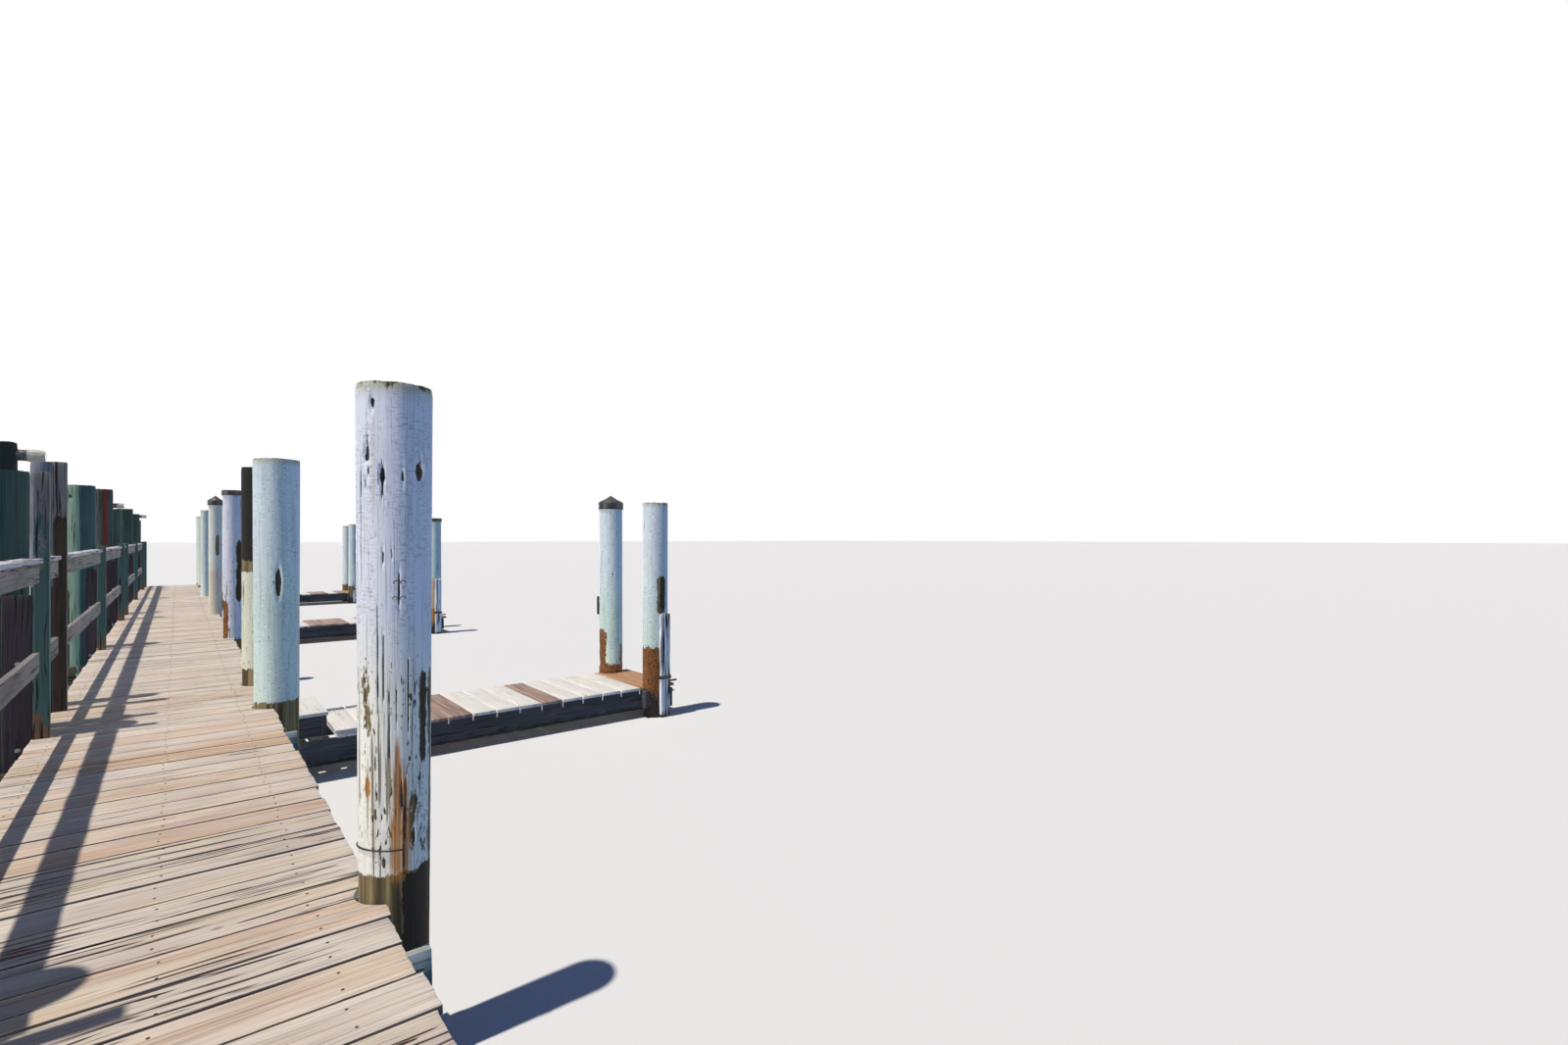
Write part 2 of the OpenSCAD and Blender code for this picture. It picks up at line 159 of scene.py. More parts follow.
class Plan:
    """Lays out the nodes of one material or node group in short calls."""

    def __init__(self, tree):
        self.tree = tree

    def feed(self, socket, value):
        if isinstance(value, Value):
            self.tree.links.new(value.socket, socket)
        else:
            socket.default_value = value

    def add(self, kind, inputs=None, **settings):
        """A new node with its settings, and its inputs fed by name or number."""
        made = self.tree.nodes.new(kind)
        for name, value in settings.items():
            setattr(made, name, value)
        for name, value in (inputs or {}).items():
            self.feed(made.inputs[name], value)
        return made

    def run(self, kind, inputs, output=0, **settings):
        """One output of a new node."""
        return Value(self, self.add(kind, inputs, **settings).outputs[output])

    def calc(self, operation, *values):
        return self.run("ShaderNodeMath", dict(enumerate(values)), operation=operation)

    def join_vectors(self, operation, first, second):
        return self.run("ShaderNodeVectorMath", {0: first, 1: second}, operation=operation)

    def noise(self, vector, along, across, detail=2.0, roughness=0.5):
        """Noise on grain coordinates, packed this closely along the grain and across it."""
        packed = self.join_vectors("MULTIPLY", vector, (along, across, across))
        inputs = {"Vector": packed, "Scale": 1.0, "Detail": detail, "Roughness": roughness}
        return self.run("ShaderNodeTexNoise", inputs)

    def step(self, value, low, high):
        """0 below low, 1 above high and a smooth slope between them."""
        inputs = {"Value": value, "From Min": low, "From Max": high}
        return self.run("ShaderNodeMapRange", inputs, "Result", interpolation_type="SMOOTHSTEP")

    def shade(self, colour, factor):
        return self.run("ShaderNodeVectorMath", {0: colour, "Scale": factor}, operation="SCALE")

    def mix(self, share, first, second):
        return self.run("ShaderNodeMix", {0: share, 6: first, 7: second}, 2, data_type="RGBA")

    def attribute(self, name, output="Vector"):
        return self.run("ShaderNodeAttribute", {}, output, attribute_name=name)

    def parts(self, name):
        """The three values that a colour attribute carries."""
        split = self.add("ShaderNodeSeparateColor", {0: self.attribute(name, "Color")})
        return [Value(self, socket) for socket in split.outputs]

    def place(self, group, **values):
        """The outputs of a shared effect, by name."""
        made = self.add("ShaderNodeGroup", node_tree=group)
        for name, value in values.items():
            self.feed(made.inputs[name], value)
        return {socket.name: Value(self, socket) for socket in made.outputs}

    def tear(self, grain, share, tear):
        """A soft painted-on share as a mask with a torn edge."""
        return self.place(ragged_edge, Grain=grain, Share=share, Tear=tear)["Mask"]


def open_effect(name, **values):
    """Begins a node group that takes the grain and some values; gives its plan and its inputs by name."""
    tree = bpy.data.node_groups.new(name, "ShaderNodeTree")
    tree.interface.new_socket(name="Grain", in_out="INPUT", socket_type="NodeSocketVector")
    for label, value in values.items():
        socket = tree.interface.new_socket(name=label, in_out="INPUT", socket_type="NodeSocketFloat")
        socket.default_value = value
    plan = Plan(tree)
    given = plan.add("NodeGroupInput").outputs
    return plan, {socket.name: Value(plan, socket) for socket in given if socket.name}


def close_effect(plan, **results):
    """Gives a node group its outputs."""
    for label in results:
        plan.tree.interface.new_socket(name=label, in_out="OUTPUT", socket_type="NodeSocketFloat")
    plan.add("NodeGroupOutput", results)
    return plan.tree


def make_timber_figure():
    """Streaks, patches, drying cracks and knots that follow the grain, and how high each of them stands."""
    plan, given = open_effect("timber_figure", Cracking=0.5, Knots=0.5)
    grain = given["Grain"]
    sway = (plan.noise(grain, 1.3, 4.0, 1.0) - 0.5) * 0.06
    bent = plan.join_vectors("ADD", grain, plan.run("ShaderNodeCombineXYZ", {"Y": sway, "Z": sway}))
    fibre = plan.noise(bent, 1.6, 85.0, 2.5, 0.55)
    streak = plan.noise(bent, 0.9, 30.0, 4.0, 0.6)
    patch = plan.noise(grain, 1.7, 4.0)

    limit = 0.94 - given["Cracking"] * 0.24 - plan.noise(grain, 1.6, 11.0) * 0.38
    crack = plan.step(plan.noise(bent, 1.25, 52.0, 2.5), limit, limit + 0.04)

    flat = plan.join_vectors("MULTIPLY", grain, (2.1, 3.7, 0.0))
    cell = plan.add("ShaderNodeTexVoronoi", {"Vector": flat, "Scale": 1.0}, feature="F1")
    chosen = plan.run("ShaderNodeSeparateColor", {0: Value(plan, cell.outputs["Color"])})
    reach = plan.step(chosen, 0.55, 0.95) * given["Knots"]
    edge = reach * 0.1 + 0.001
    knot = 1.0 - plan.step(Value(plan, cell.outputs["Distance"]), edge * 0.4, edge)
    knot = knot * plan.step(reach, 0.02, 0.1)

    relief = streak * 0.6 + fibre * 0.35 - crack - knot * 0.35
    return close_effect(plan, Fibre=fibre, Streak=streak, Patch=patch, Crack=crack, Knot=knot, Relief=relief)


def make_ragged_edge():
    """Turns a soft painted-on share into a mask with a torn edge that follows the grain."""
    plan, given = open_effect("ragged_edge", Share=0.0, Tear=0.7)
    grain, share = given["Grain"], given["Share"]
    torn = plan.noise(grain, 6.0, 22.0, 1.0) + plan.noise(grain, 26.0, 95.0, 3.0, 0.6) - 1.0
    level = torn * given["Tear"] + share
    return close_effect(plan, Mask=plan.step(level, 0.46, 0.54) * plan.step(share, 0.02, 0.15))


timber_figure = make_timber_figure()
ragged_edge = make_ragged_edge()


def begin_material(name):
    material = bpy.data.materials.new(name)
    material.use_nodes = True
    return material, Plan(material.node_tree), material.node_tree.nodes["Principled BSDF"]


def dress(plan, skin, colour, roughness, shine, height, strength=0.7, distance=0.004):
    """Feeds a material's surface its colour, roughness, specular level and relief."""
    plan.feed(skin.inputs["Base Color"], colour)
    plan.feed(skin.inputs["Roughness"], roughness)
    skin.inputs["Specular IOR Level"].default_value = shine
    bump = plan.run("ShaderNodeBump", {"Strength": strength, "Distance": distance, "Height": height})
    plan.feed(skin.inputs["Normal"], bump)


def weathered_timber(name, pale, worn, warm, dark, crack, cracking=0.5, knots=0.6, tinted=False):
    """Bare sawn timber left out in the sun and rain. The board attribute holds each board's warmth, lightness
    and cracking; wear holds what is stained by rust or gone dark, and the painted shade down the long sides of
    the walk boards; tint is old stain or paint, and on two of the left piles painted light and shade too."""
    material, plan, skin = begin_material(name)
    grain, board, wear = plan.attribute("grain"), plan.parts("board"), plan.parts("wear")
    figure = plan.place(timber_figure, Grain=grain, Cracking=board[2] + (cracking - 0.5), Knots=knots)
    streak, fibre = figure["Streak"], figure["Fibre"]
    colour = plan.mix(plan.step(figure["Patch"], 0.3, 0.7), srgb(*pale), srgb(*worn))
    heat = board[0] * plan.step(plan.noise(grain, 0.7, 12.0), 0.3, 0.62) * plan.step(streak, 0.3, 0.55)
    colour = plan.mix(plan.calc("MINIMUM", heat, 1.0), colour, srgb(*warm))
    faded = plan.step(plan.noise(grain, 0.9, 7.0, 3.0), 0.5, 0.66)
    colour = plan.mix(faded * 0.4, colour, srgb(pale[0], pale[1] * 0.97, pale[2] * 0.84))
    bleached = plan.step(plan.noise(grain, 2.5, 48.0, 3.0, 0.6), 0.56, 0.7)
    colour = plan.mix(bleached * 0.5, colour, srgb(*[min(part * 1.1, 255) for part in pale]))
    if tinted:
        stained = plan.shade(plan.attribute("tint", "Color"), streak * 0.7 + 0.65)
        colour = plan.mix(plan.tear(grain, plan.attribute("tint", "Alpha"), 0.9), colour, stained)
    colour = plan.mix(plan.step(streak, 0.52, 0.75) * 0.5, colour, srgb(*dark))
    colour = plan.mix(plan.step(fibre, 0.48, 0.72) * 0.55, colour, srgb(*dark))
    colour = plan.mix(figure["Knot"] * 0.7, colour, srgb(*[part * 0.6 for part in warm]))
    colour = plan.mix(plan.tear(grain, wear[1], 0.8) * 0.7, colour, srgb(142, 90, 46))
    # Dark wood, and on the walk boards painted shade in the gaps between them
    colour = plan.mix(plan.tear(grain, wear[2], 0.8) * 0.85, colour, srgb(*crack))
    colour = plan.mix(figure["Crack"], plan.shade(colour, board[1] * 0.5 + 0.75), srgb(*crack))
    dress(plan, skin, colour, fibre * 0.2 + 0.72, 0.25, figure["Relief"])
    return material


def peeling_paint(name, wood_pale, wood_dark, flakes, wrinkle_light_and_shade):
    """Old exterior paint on timber. The paint attribute is its colour, with 1 in its last place where rust
    only stains it and 0 where rust has eaten it; wear holds where it is gone, where it is rusty and where the
    wood is holed or black, the black in holes and checks being partly painted shade; board holds how
    chipped, how scuffed and how cracked it is."""
    material, plan, skin = begin_material(name)
    grain, board, wear = plan.attribute("grain"), plan.parts("board"), plan.parts("wear")
    paint, shallow = plan.attribute("paint", "Color"), plan.attribute("paint", "Alpha")
    figure = plan.place(timber_figure, Grain=grain, Cracking=board[2], Knots=0.0)
    streak = figure["Streak"]

    coat = plan.shade(paint, plan.noise(grain, 2.2, 7.0, 3.0) * 0.34 + 0.8)
    # Wrinkles in the old paint: grey along their grooves is painted shade, and the whitened paint between them
    # is painted highlight.
    level, upright = plan.noise(grain, 120.0, 34.0), plan.noise(grain, 26.0, 150.0)
    rumpled = plan.step(plan.noise(grain, 6.0, 14.0, 1.0), 0.36, 0.54)
    rumpled = rumpled * (1.0 - plan.step(board[0], 0.2, 0.7) * 0.75)
    wrinkle_grooves_and_shade = plan.calc("MAXIMUM", plan.step(level, 0.56, 0.68), plan.step(upright, 0.56, 0.68))
    wrinkle_grooves_and_shade = wrinkle_grooves_and_shade * 0.7 * rumpled
    wrinkle_highlight = (1.0 - plan.step(level, 0.34, 0.46)) * rumpled
    coat = plan.mix(wrinkle_grooves_and_shade * (wrinkle_light_and_shade * 0.75), coat, srgb(124, 130, 138))
    coat = plan.mix(wrinkle_highlight * wrinkle_light_and_shade, coat, srgb(244, 247, 250))
    groove = plan.step(plan.noise(grain, 1.6, 210.0), 0.56, 0.7)
    coat = plan.mix(groove * 0.4, coat, srgb(112, 118, 116))
    coat = plan.mix(plan.step(streak, 0.54, 0.85) * 0.4, coat, srgb(138, 142, 140))
    scuff = (level - 0.5) * 2.4 + board[1] * 0.9
    coat = plan.mix(plan.step(scuff, 0.72, 0.95) * 0.8, coat, srgb(250, 251, 252))

    chipped = board[0] * (plan.noise(grain, 3.2, 10.0, 1.0) * 1.5 + 0.2)
    chips = plan.step(plan.noise(grain, 15.0, 80.0, 2.0, 0.6), 0.8 - chipped * (flakes * 0.3), 0.82)
    specks = plan.step(plan.noise(grain, 42.0, 150.0, 1.0), 0.82 - chipped * (flakes * 0.18), 0.84)
    chips = plan.calc("MAXIMUM", plan.step(chips, 0.05, 0.3), plan.step(specks, 0.02, 0.2))
    gone = plan.calc("MAXIMUM", plan.tear(grain, wear[0], 1.0), chips)
    gone = plan.calc("MAXIMUM", gone, figure["Crack"] * 0.85)
    wood = plan.mix(plan.step(streak, 0.3, 0.66), srgb(*wood_pale), srgb(*wood_dark))
    wood = plan.mix(chips * 0.6, wood, srgb(*wood_dark))
    colour = plan.mix(gone, coat, wood)

    run = plan.noise(grain, 1.0, 95.0, 3.0)
    stain = plan.mix(plan.step(run, 0.42, 0.66), srgb(230, 162, 66), srgb(146, 82, 28))
    pit = plan.step(plan.noise(grain, 34.0, 62.0, 3.0, 0.6), 0.46, 0.62)
    pitted = plan.mix(pit, srgb(136, 88, 44), srgb(58, 40, 24))
    rust = plan.calc("MINIMUM", wear[1] * (plan.step(run, 0.3, 0.6) * 0.9 + 0.45), 0.9) * shallow
    rust = plan.calc("MAXIMUM", rust, plan.tear(grain, wear[1], 1.5) * (1.0 - shallow))
    colour = plan.mix(rust, colour, plan.mix(shallow, pitted, stain))
    # Black bare wood, and in holes and checks partly painted shade
    colour = plan.mix(plan.tear(grain, wear[2], 0.7), colour, srgb(24, 21, 18))
    height = figure["Relief"] * 0.3 + (1.0 - gone) * 0.45 - wrinkle_grooves_and_shade * 0.3 - groove * 0.35
    dress(plan, skin, colour, gone * 0.25 + 0.6, 0.35, height)
    return material


def plain_finish(name, colour, second, roughness, metallic=0.0, size=30.0):
    """Moulded plastic, metal, glass and dried paint: two close colours in soft blotches with fine pitting."""
    material, plan, skin = begin_material(name)
    place = plan.run("ShaderNodeTexCoord", {}, "Object")
    blotch = plan.noise(place, size, size, 4.0)
    pits = plan.noise(place, size * 8, size * 8)
    tone = plan.mix(plan.step(blotch, 0.35, 0.65), srgb(*colour), srgb(*second))
    skin.inputs["Metallic"].default_value = metallic
    dress(plan, skin, tone, blotch * 0.3 + (roughness - 0.15), 0.5, pits, 0.2, 0.001)
    return material


# Shaping helpers


def choose(piece):
    """Makes a piece the only one selected, and the active one."""
    bpy.ops.object.select_all(action="DESELECT")
    piece.select_set(True)
    bpy.context.view_layer.objects.active = piece


def added(name):
    """The primitive just added, with its size and place put into its mesh."""
    piece = bpy.context.active_object
    piece.name = name
    bpy.ops.object.transform_apply(location=True, rotation=True, scale=True)
    return piece


def open_piece(piece):
    choose(piece)
    bpy.ops.object.mode_set(mode="EDIT")


def close_piece():
    bpy.ops.object.mode_set(mode="OBJECT")


def pick(piece, kind, test):
    """Selects the vertices, edges or faces of an open piece that pass a test."""
    shell = bmesh.from_edit_mesh(piece.data)
    bpy.ops.mesh.select_mode(type=kind)
    bpy.ops.mesh.select_all(action="DESELECT")
    parts = {"VERT": shell.verts, "EDGE": shell.edges, "FACE": shell.faces}[kind]
    for part in parts:
        if test(part):
            part.select = True
    shell.select_flush_mode()
    bmesh.update_edit_mesh(piece.data)


def runs(axis):
    """A test for edges that run along one axis."""

    def test(edge):
        way = edge.verts[1].co - edge.verts[0].co
        return abs(way[axis]) > 0.999 * way.length

    return test


def facing(axis, way=1):
    """A test for faces that look along an axis, or against it."""
    return lambda face: face.normal[axis] * way > 0.9


def finish_with(piece, kind, **settings):
    """Adds one modifier and applies it."""
    choose(piece)
    modifier = piece.modifiers.new(kind.lower(), kind)
    for name, value in settings.items():
        setattr(modifier, name, value)
    bpy.ops.object.modifier_apply(modifier=modifier.name)


def round_edges(piece, width, angle=40):
    """Bevels the edges that turn by more than an angle."""
    limit = math.radians(angle)
    finish_with(piece, "BEVEL", width=width, segments=2, limit_method="ANGLE", angle_limit=limit)


def copy_of(blank, name):
    """A copy with its own mesh."""
    piece = blank.copy()
    piece.data = blank.data.copy()
    piece.name = name
    bpy.context.scene.collection.objects.link(piece)
    return piece


def points_of(piece):
    flat = np.empty(len(piece.data.vertices) * 3)
    piece.data.vertices.foreach_get("co", flat)
    return flat.reshape(-1, 3)


def move_points(piece, points):
    piece.data.vertices.foreach_set("co", points.astype(np.float32).ravel())
    piece.data.update()


def write_attribute(piece, name, values):
    """Stores a vector, or a colour of three or four values, for each vertex."""
    values = np.asarray(values, dtype=np.float32)
    if name == "grain":
        layer = piece.data.attributes.new(name, "FLOAT_VECTOR", "POINT")
        layer.data.foreach_set("vector", values.ravel())
        return
    layer = piece.data.attributes.new(name, "FLOAT_COLOR", "POINT")
    full = np.ones((len(piece.data.vertices), 4), dtype=np.float32)
    full[:, : values.shape[-1]] = values
    layer.data.foreach_set("color", full.ravel())


def rough(points, along, across, seed):
    """Seeded noise from -1 to 1 at each point, in bumps this long on the first axis and this wide across."""
    scaled = points / np.array((along, across, across)) + seed * 17.3
    return np.array([noise.noise(point) for point in scaled])


def bumps(points, along, across, seed):
    """The same noise from 0 to 1."""
    return 0.5 + 0.5 * rough(points, along, across, seed)


def ramp(values):
    return np.clip(values, 0, 1)


def wear_of(points, gone=0.0, rust=0.0, black=0.0):
    """The wear values of each vertex: paint gone, rust, and black or holed. On the walk boards the black is
    painted shade in the gaps.
    """
    return np.stack([np.broadcast_to(part, len(points)) for part in (gone, rust, black)], axis=1)


def tint_of(points, colour, share):
    """One stain for all vertices, with each vertex's share of it."""
    tint = np.tile(srgb(*colour), (len(points), 1))
    tint[:, 3] = share
    return tint


def join(pieces, name):
    choose(pieces[0])
    for piece in pieces[1:]:
        piece.select_set(True)
    if len(pieces) > 1:
        bpy.ops.object.join()
    pieces[0].name = name
    return pieces[0]


def hand_over(piece, material, slot, *nodes, smooth=40):
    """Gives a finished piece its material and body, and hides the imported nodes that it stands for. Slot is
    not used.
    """
    piece.data.materials.clear()
    piece.data.materials.append(material)
    choose(piece)
    bpy.ops.object.shade_smooth_by_angle(angle=math.radians(smooth))
    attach(piece, "root")
    if nodes:
        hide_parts(*nodes)
    return piece


def solids(node):
    """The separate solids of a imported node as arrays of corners, in order along the jetty."""
    mesh = frame["nodes"][node].data
    corners = np.empty(len(mesh.vertices) * 3)
    mesh.vertices.foreach_get("co", corners)
    keys, back = np.unique(np.round(corners.reshape(-1, 3), 5), axis=0, return_inverse=True)
    back = back.ravel()
    link = list(range(len(keys)))

    def root(index):
        while link[index] != index:
            link[index] = link[link[index]]
            index = link[index]
        return index

    for edge in mesh.edges:
        link[root(back[edge.vertices[0]])] = root(back[edge.vertices[1]])
    groups = {}
    for index, key in enumerate(keys):
        groups.setdefault(root(index), []).append(key)
    found = [np.array(group) for group in groups.values()]
    return sorted(found, key=lambda group: (round(group[:, 1].min(), 2), round(group[:, 0].min(), 2)))


def boxes(node):
    return [(solid.min(axis=0), solid.max(axis=0)) for solid in solids(node)]


# Sawn timber


def sawn_blank(name, size, cuts, worn=0.004):
    """A sawn length of timber at its real size: cut into short runs, then its arrises worn round."""
    bpy.ops.mesh.primitive_cube_add(size=1, scale=size)
    blank = added(name)
    open_piece(blank)
    for axis, count in enumerate(cuts):
        if count:
            pick(blank, "EDGE", runs(axis))
            bpy.ops.mesh.subdivide(number_cuts=count)
    close_piece()
    round_edges(blank, worn, 50)
    blank.hide_render = True
    return blank


def stretched(points, half, margin=0.012):
    """Fits a blank to new half sizes, keeping its worn arrises as they are."""
    old = np.abs(points).max(axis=0)
    fitted = np.empty_like(points)
    for axis in range(3):
        near = old[axis] - np.abs(points[:, axis])
        edge = margin if old[axis] > margin * 1.5 and half[axis] > margin * 1.5 else 0.0
        inner = points[:, axis] * (half[axis] - edge) / (old[axis] - edge)
        fitted[:, axis] = np.where(near < edge, np.sign(points[:, axis]) * (half[axis] - near), inner)
    return fitted


def weather(points, half, seed, ends=0.006, sides=0.002, face=0.0012, cup=0.0):
    """Wears a board in its own axes: along, across, through. All of it goes inwards."""
    along, across, through = points.T
    drop = ends * bumps(points, 9.0, 0.05, seed) * ramp((np.abs(along) - half[0] + 0.06) / 0.06)
    wave = sides * bumps(points * (1, 0, 0), 0.16, 1.0, seed + 1)
    wave += sides * bumps(points * (1, 0, 0), 0.7, 1.0, seed + 2)
    pull = ramp((np.abs(across) - half[1] + 0.02) / 0.02) * wave
    sink = face * bumps(points, 0.5, 0.022, seed + 3)
    sink += cup * (np.abs(across) / half[1]) ** 2
    near_face = np.abs(through) > half[2] - 0.006
    out = points.copy()
    out[:, 0] -= np.sign(along) * drop
    out[:, 1] -= np.sign(across) * pull
    out[:, 2] -= np.sign(through) * np.where(near_face, sink, 0)
    return out


def timber(blank, name, low, high, way, seed, board=(0.0, 0.5, 0.5), **wear):
    """A worn copy of a blank that fills the box from low to high, with its length along the axis way."""
    order = [way, (way + 1) % 3, (way + 2) % 3]
    low, high = np.array(low, float), np.array(high, float)
    half = ((high - low) / 2)[order]
    piece = copy_of(blank, name)
    piece.hide_render = False
    shape = weather(stretched(points_of(piece), half), half, seed, **wear)
    placed = np.empty_like(shape)
    placed[:, order] = shape
    placed += (low + high) / 2
    move_points(piece, placed)
    piece["order"] = order
    piece["middle"] = list((low + high) / 2)
    piece["board"] = list(board)
    piece["seed"] = seed
    return piece


def mark_grain(piece, wear=None, paint=None, tint=None):
    """Writes where each vertex lies along and across the grain, and the board's own values."""
    points = points_of(piece) - np.array(piece["middle"])
    grain = points[:, list(piece["order"])]
    grain = grain + np.array((piece["seed"] * 3.17, piece["seed"] * 1.31, piece["seed"] * 0.73)) % 50
    write_attribute(piece, "grain", grain)
    write_attribute(piece, "board", np.tile(list(piece["board"]), (len(points), 1)))
    write_attribute(piece, "wear", np.zeros((len(points), 3)) if wear is None else wear)
    if paint is not None:
        write_attribute(piece, "paint", np.tile(paint[:3], (len(points), 1)))
    write_attribute(piece, "tint", np.zeros((len(points), 4)) if tint is None else tint)
    return piece


def notch(piece, cutters):
    """Cuts a board out round what passes through it."""
    points = points_of(piece)
    low, high = points.min(axis=0), points.max(axis=0)
    for cutter, cut_low, cut_high in cutters:
        if np.all(cut_low < high) and np.all(cut_high > low):
            finish_with(piece, "BOOLEAN", operation="DIFFERENCE", solver="EXACT", object=cutter)
    return piece


def round_cutter(name, solid, clearance):
    """A plain shaft a little wider than a pile, to cut boards with, and the box that it fills."""
    low, high = solid.min(axis=0), solid.max(axis=0)
    x, y = (low[:2] + high[:2]) / 2
    radius = (high[0] - low[0]) / 2 + clearance
    bpy.ops.mesh.primitive_cylinder_add(vertices=40, radius=radius, depth=4, location=(x, y, 1.5))
    shaft = added(name)
    shaft.hide_render = True
    return shaft, np.array((x - radius, y - radius, -0.5)), np.array((x + radius, y + radius, 3.5))


def pile_cutters(node, clearance):
    return [round_cutter(f"{node}_cut_{index}", solid, clearance) for index, solid in enumerate(solids(node))]


def square_cutter(name, low, high, clearance):
    middle, size = (low + high) / 2, high - low
    size[:2] += clearance * 2
    bpy.ops.mesh.primitive_cube_add(size=1, scale=size, location=middle)
    block = added(name)
    block.hide_render = True
    return block, middle - size / 2, middle + size / 2


def sawn_set(node, name, blank, seed, finish, tone=(0.0, 0.5, 0.5), marks=None, places=None, **wear):
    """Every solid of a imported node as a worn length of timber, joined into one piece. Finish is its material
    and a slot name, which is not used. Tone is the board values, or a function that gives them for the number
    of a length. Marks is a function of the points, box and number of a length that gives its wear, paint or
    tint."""
    pieces = []
    for index, (low, high) in enumerate(places or boxes(node)):
        board = tone(index) if callable(tone) else tone
        way = int(np.argmax(high - low))
        piece = timber(blank, f"{name}_{index}", low, high, way, seed + index, board, **wear)
        pieces.append(mark_grain(piece, **(marks(points_of(piece), low, high, index) if marks else {})))
    hand_over(join(pieces, name), *finish, node)


walk_board = sawn_blank("walk_board_near", (1.495, 0.235, 0.038), (44, 9, 0))
walk_board_far = sawn_blank("walk_board_far", (1.495, 0.235, 0.038), (20, 4, 0))
long_timber = sawn_blank("long_timber", (5.0, 0.16, 0.038), (70, 4, 1), worn=0.003)
short_timber = sawn_blank("short_timber", (1.3, 0.14, 0.038), (26, 5, 1), worn=0.003)
post_blank = sawn_blank("post_blank", (1.6, 0.089, 0.089), (40, 4, 4), worn=0.005)
beam_blank = sawn_blank("beam_blank", (3.5, 0.24, 0.06), (48, 7, 1), worn=0.005)
stringer_blank = sawn_blank("stringer_blank", (31.96, 0.19, 0.05), (160, 2, 0), worn=0.004)

right_cutters = pile_cutters("right_piles", 0.003)
left_cutters = pile_cutters("left_piles", 0.006)
finger_cutters = {number: pile_cutters(f"finger_piles_{number}", 0.008) for number in FINGERS}
post_cutters = [square_cutter("post_cut", low, high, 0.003) for low, high in boxes("fence_posts")]

walk_timber = weathered_timber(
    "walk_timber", (228, 216, 201), (206, 192, 179), (210, 164, 120), (138, 122, 114), (62, 48, 44), 0.45
)
framing_timber = weathered_timber(
    "framing_timber", (126, 116, 96), (96, 84, 66), (110, 82, 54), (60, 52, 42), (30, 26, 24), tinted=True
)
fence_wood = weathered_timber(
    "fence_wood", (142, 138, 134), (112, 108, 106), (122, 94, 66), (62, 58, 60), (32, 28, 28), tinted=True
)
cap_wood = weathered_timber(
    "cap_wood", (226, 220, 222), (196, 190, 194), (176, 158, 142), (132, 124, 124), (72, 66, 66), 0.6, 0.3
)
plank_wood = weathered_timber(
    "plank_wood", (84, 72, 76), (62, 50, 54), (70, 50, 44), (38, 32, 36), (20, 18, 20)
)
beam_wood = weathered_timber(
    "beam_wood", (92, 90, 94), (66, 66, 70), (84, 70, 56), (40, 40, 44), (24, 22, 24)
)
fender_timber = weathered_timber(
    "fender_timber", (252, 252, 254), (242, 242, 246), (216, 208, 200), (190, 188, 192), (34, 32, 34)
)
green_timber = weathered_timber(
    "green_timber", (84, 108, 96), (66, 90, 80), (84, 88, 70), (38, 54, 50), (24, 30, 28), 0.35, 0.2, True
)
pile_paint = peeling_paint("pile_paint", (160, 142, 100), (60, 52, 38), flakes=1.0, wrinkle_light_and_shade=0.85)
board_paint = peeling_paint("board_paint", (190, 166, 150), (136, 112, 98), flakes=0.6, wrinkle_light_and_shade=0.25)
step_paint = peeling_paint("step_paint", (150, 140, 124), (84, 78, 70), flakes=0.6, wrinkle_light_and_shade=0.4)
black_plastic = plain_finish("black_plastic", (17, 17, 20), (27, 26, 28), 0.5)
grey_metal = plain_finish("grey_metal", (104, 104, 108), (70, 68, 72), 0.6, metallic=0.3)
cream_glass = plain_finish("cream_glass", (226, 220, 196), (206, 198, 170), 0.3)
rusty_steel = plain_finish("rusty_steel", (96, 70, 52), (64, 48, 40), 0.8, metallic=0.2, size=200)
bolt_zinc = plain_finish("bolt_zinc", (176, 174, 170), (120, 108, 98), 0.55, metallic=0.4, size=150)
dried_paint = plain_finish("dried_paint", (240, 236, 224), (214, 208, 194), 0.55, size=90)

# Warmth, lightness and cracking of the boards that show most: the last ones of the first bay, counted back
# from its end, and the first ones of the second
FIRST_BAY_TONES = (
    (0.45, 0.52, 0.6), (0.05, 0.44, 0.72), (0.4, 0.56, 0.2), (0.1, 0.6, 0.25), (0.1, 0.5, 0.6),
    (0.2, 0.55, 0.4),
)
SECOND_BAY_TONES = (
    (0.1, 0.5, 0.7), (0.0, 0.48, 0.8), (0.05, 0.6, 0.2), (0.1, 0.5, 0.75), (0.05, 0.5, 0.75), (0.7, 0.5, 0.3),
    (0.45, 0.56, 0.35), (0.15, 0.52, 0.35), (0.25, 0.6, 0.3), (0.7, 0.52, 0.35), (0.35, 0.55, 0.35),
    (0.0, 0.6, 0.4), (1.0, 0.5, 0.4), (0.85, 0.52, 0.3), (0.2, 0.55, 0.4),
)


def board_tone():
    """Warmth, lightness and cracking of one board."""
    warm = chance.choice((0.0, 0.05, 0.1, 0.1, 0.2, 0.3, 0.4, 0.65))
    return warm, chance.uniform(0.39, 0.65), chance.uniform(0.25, 0.55)


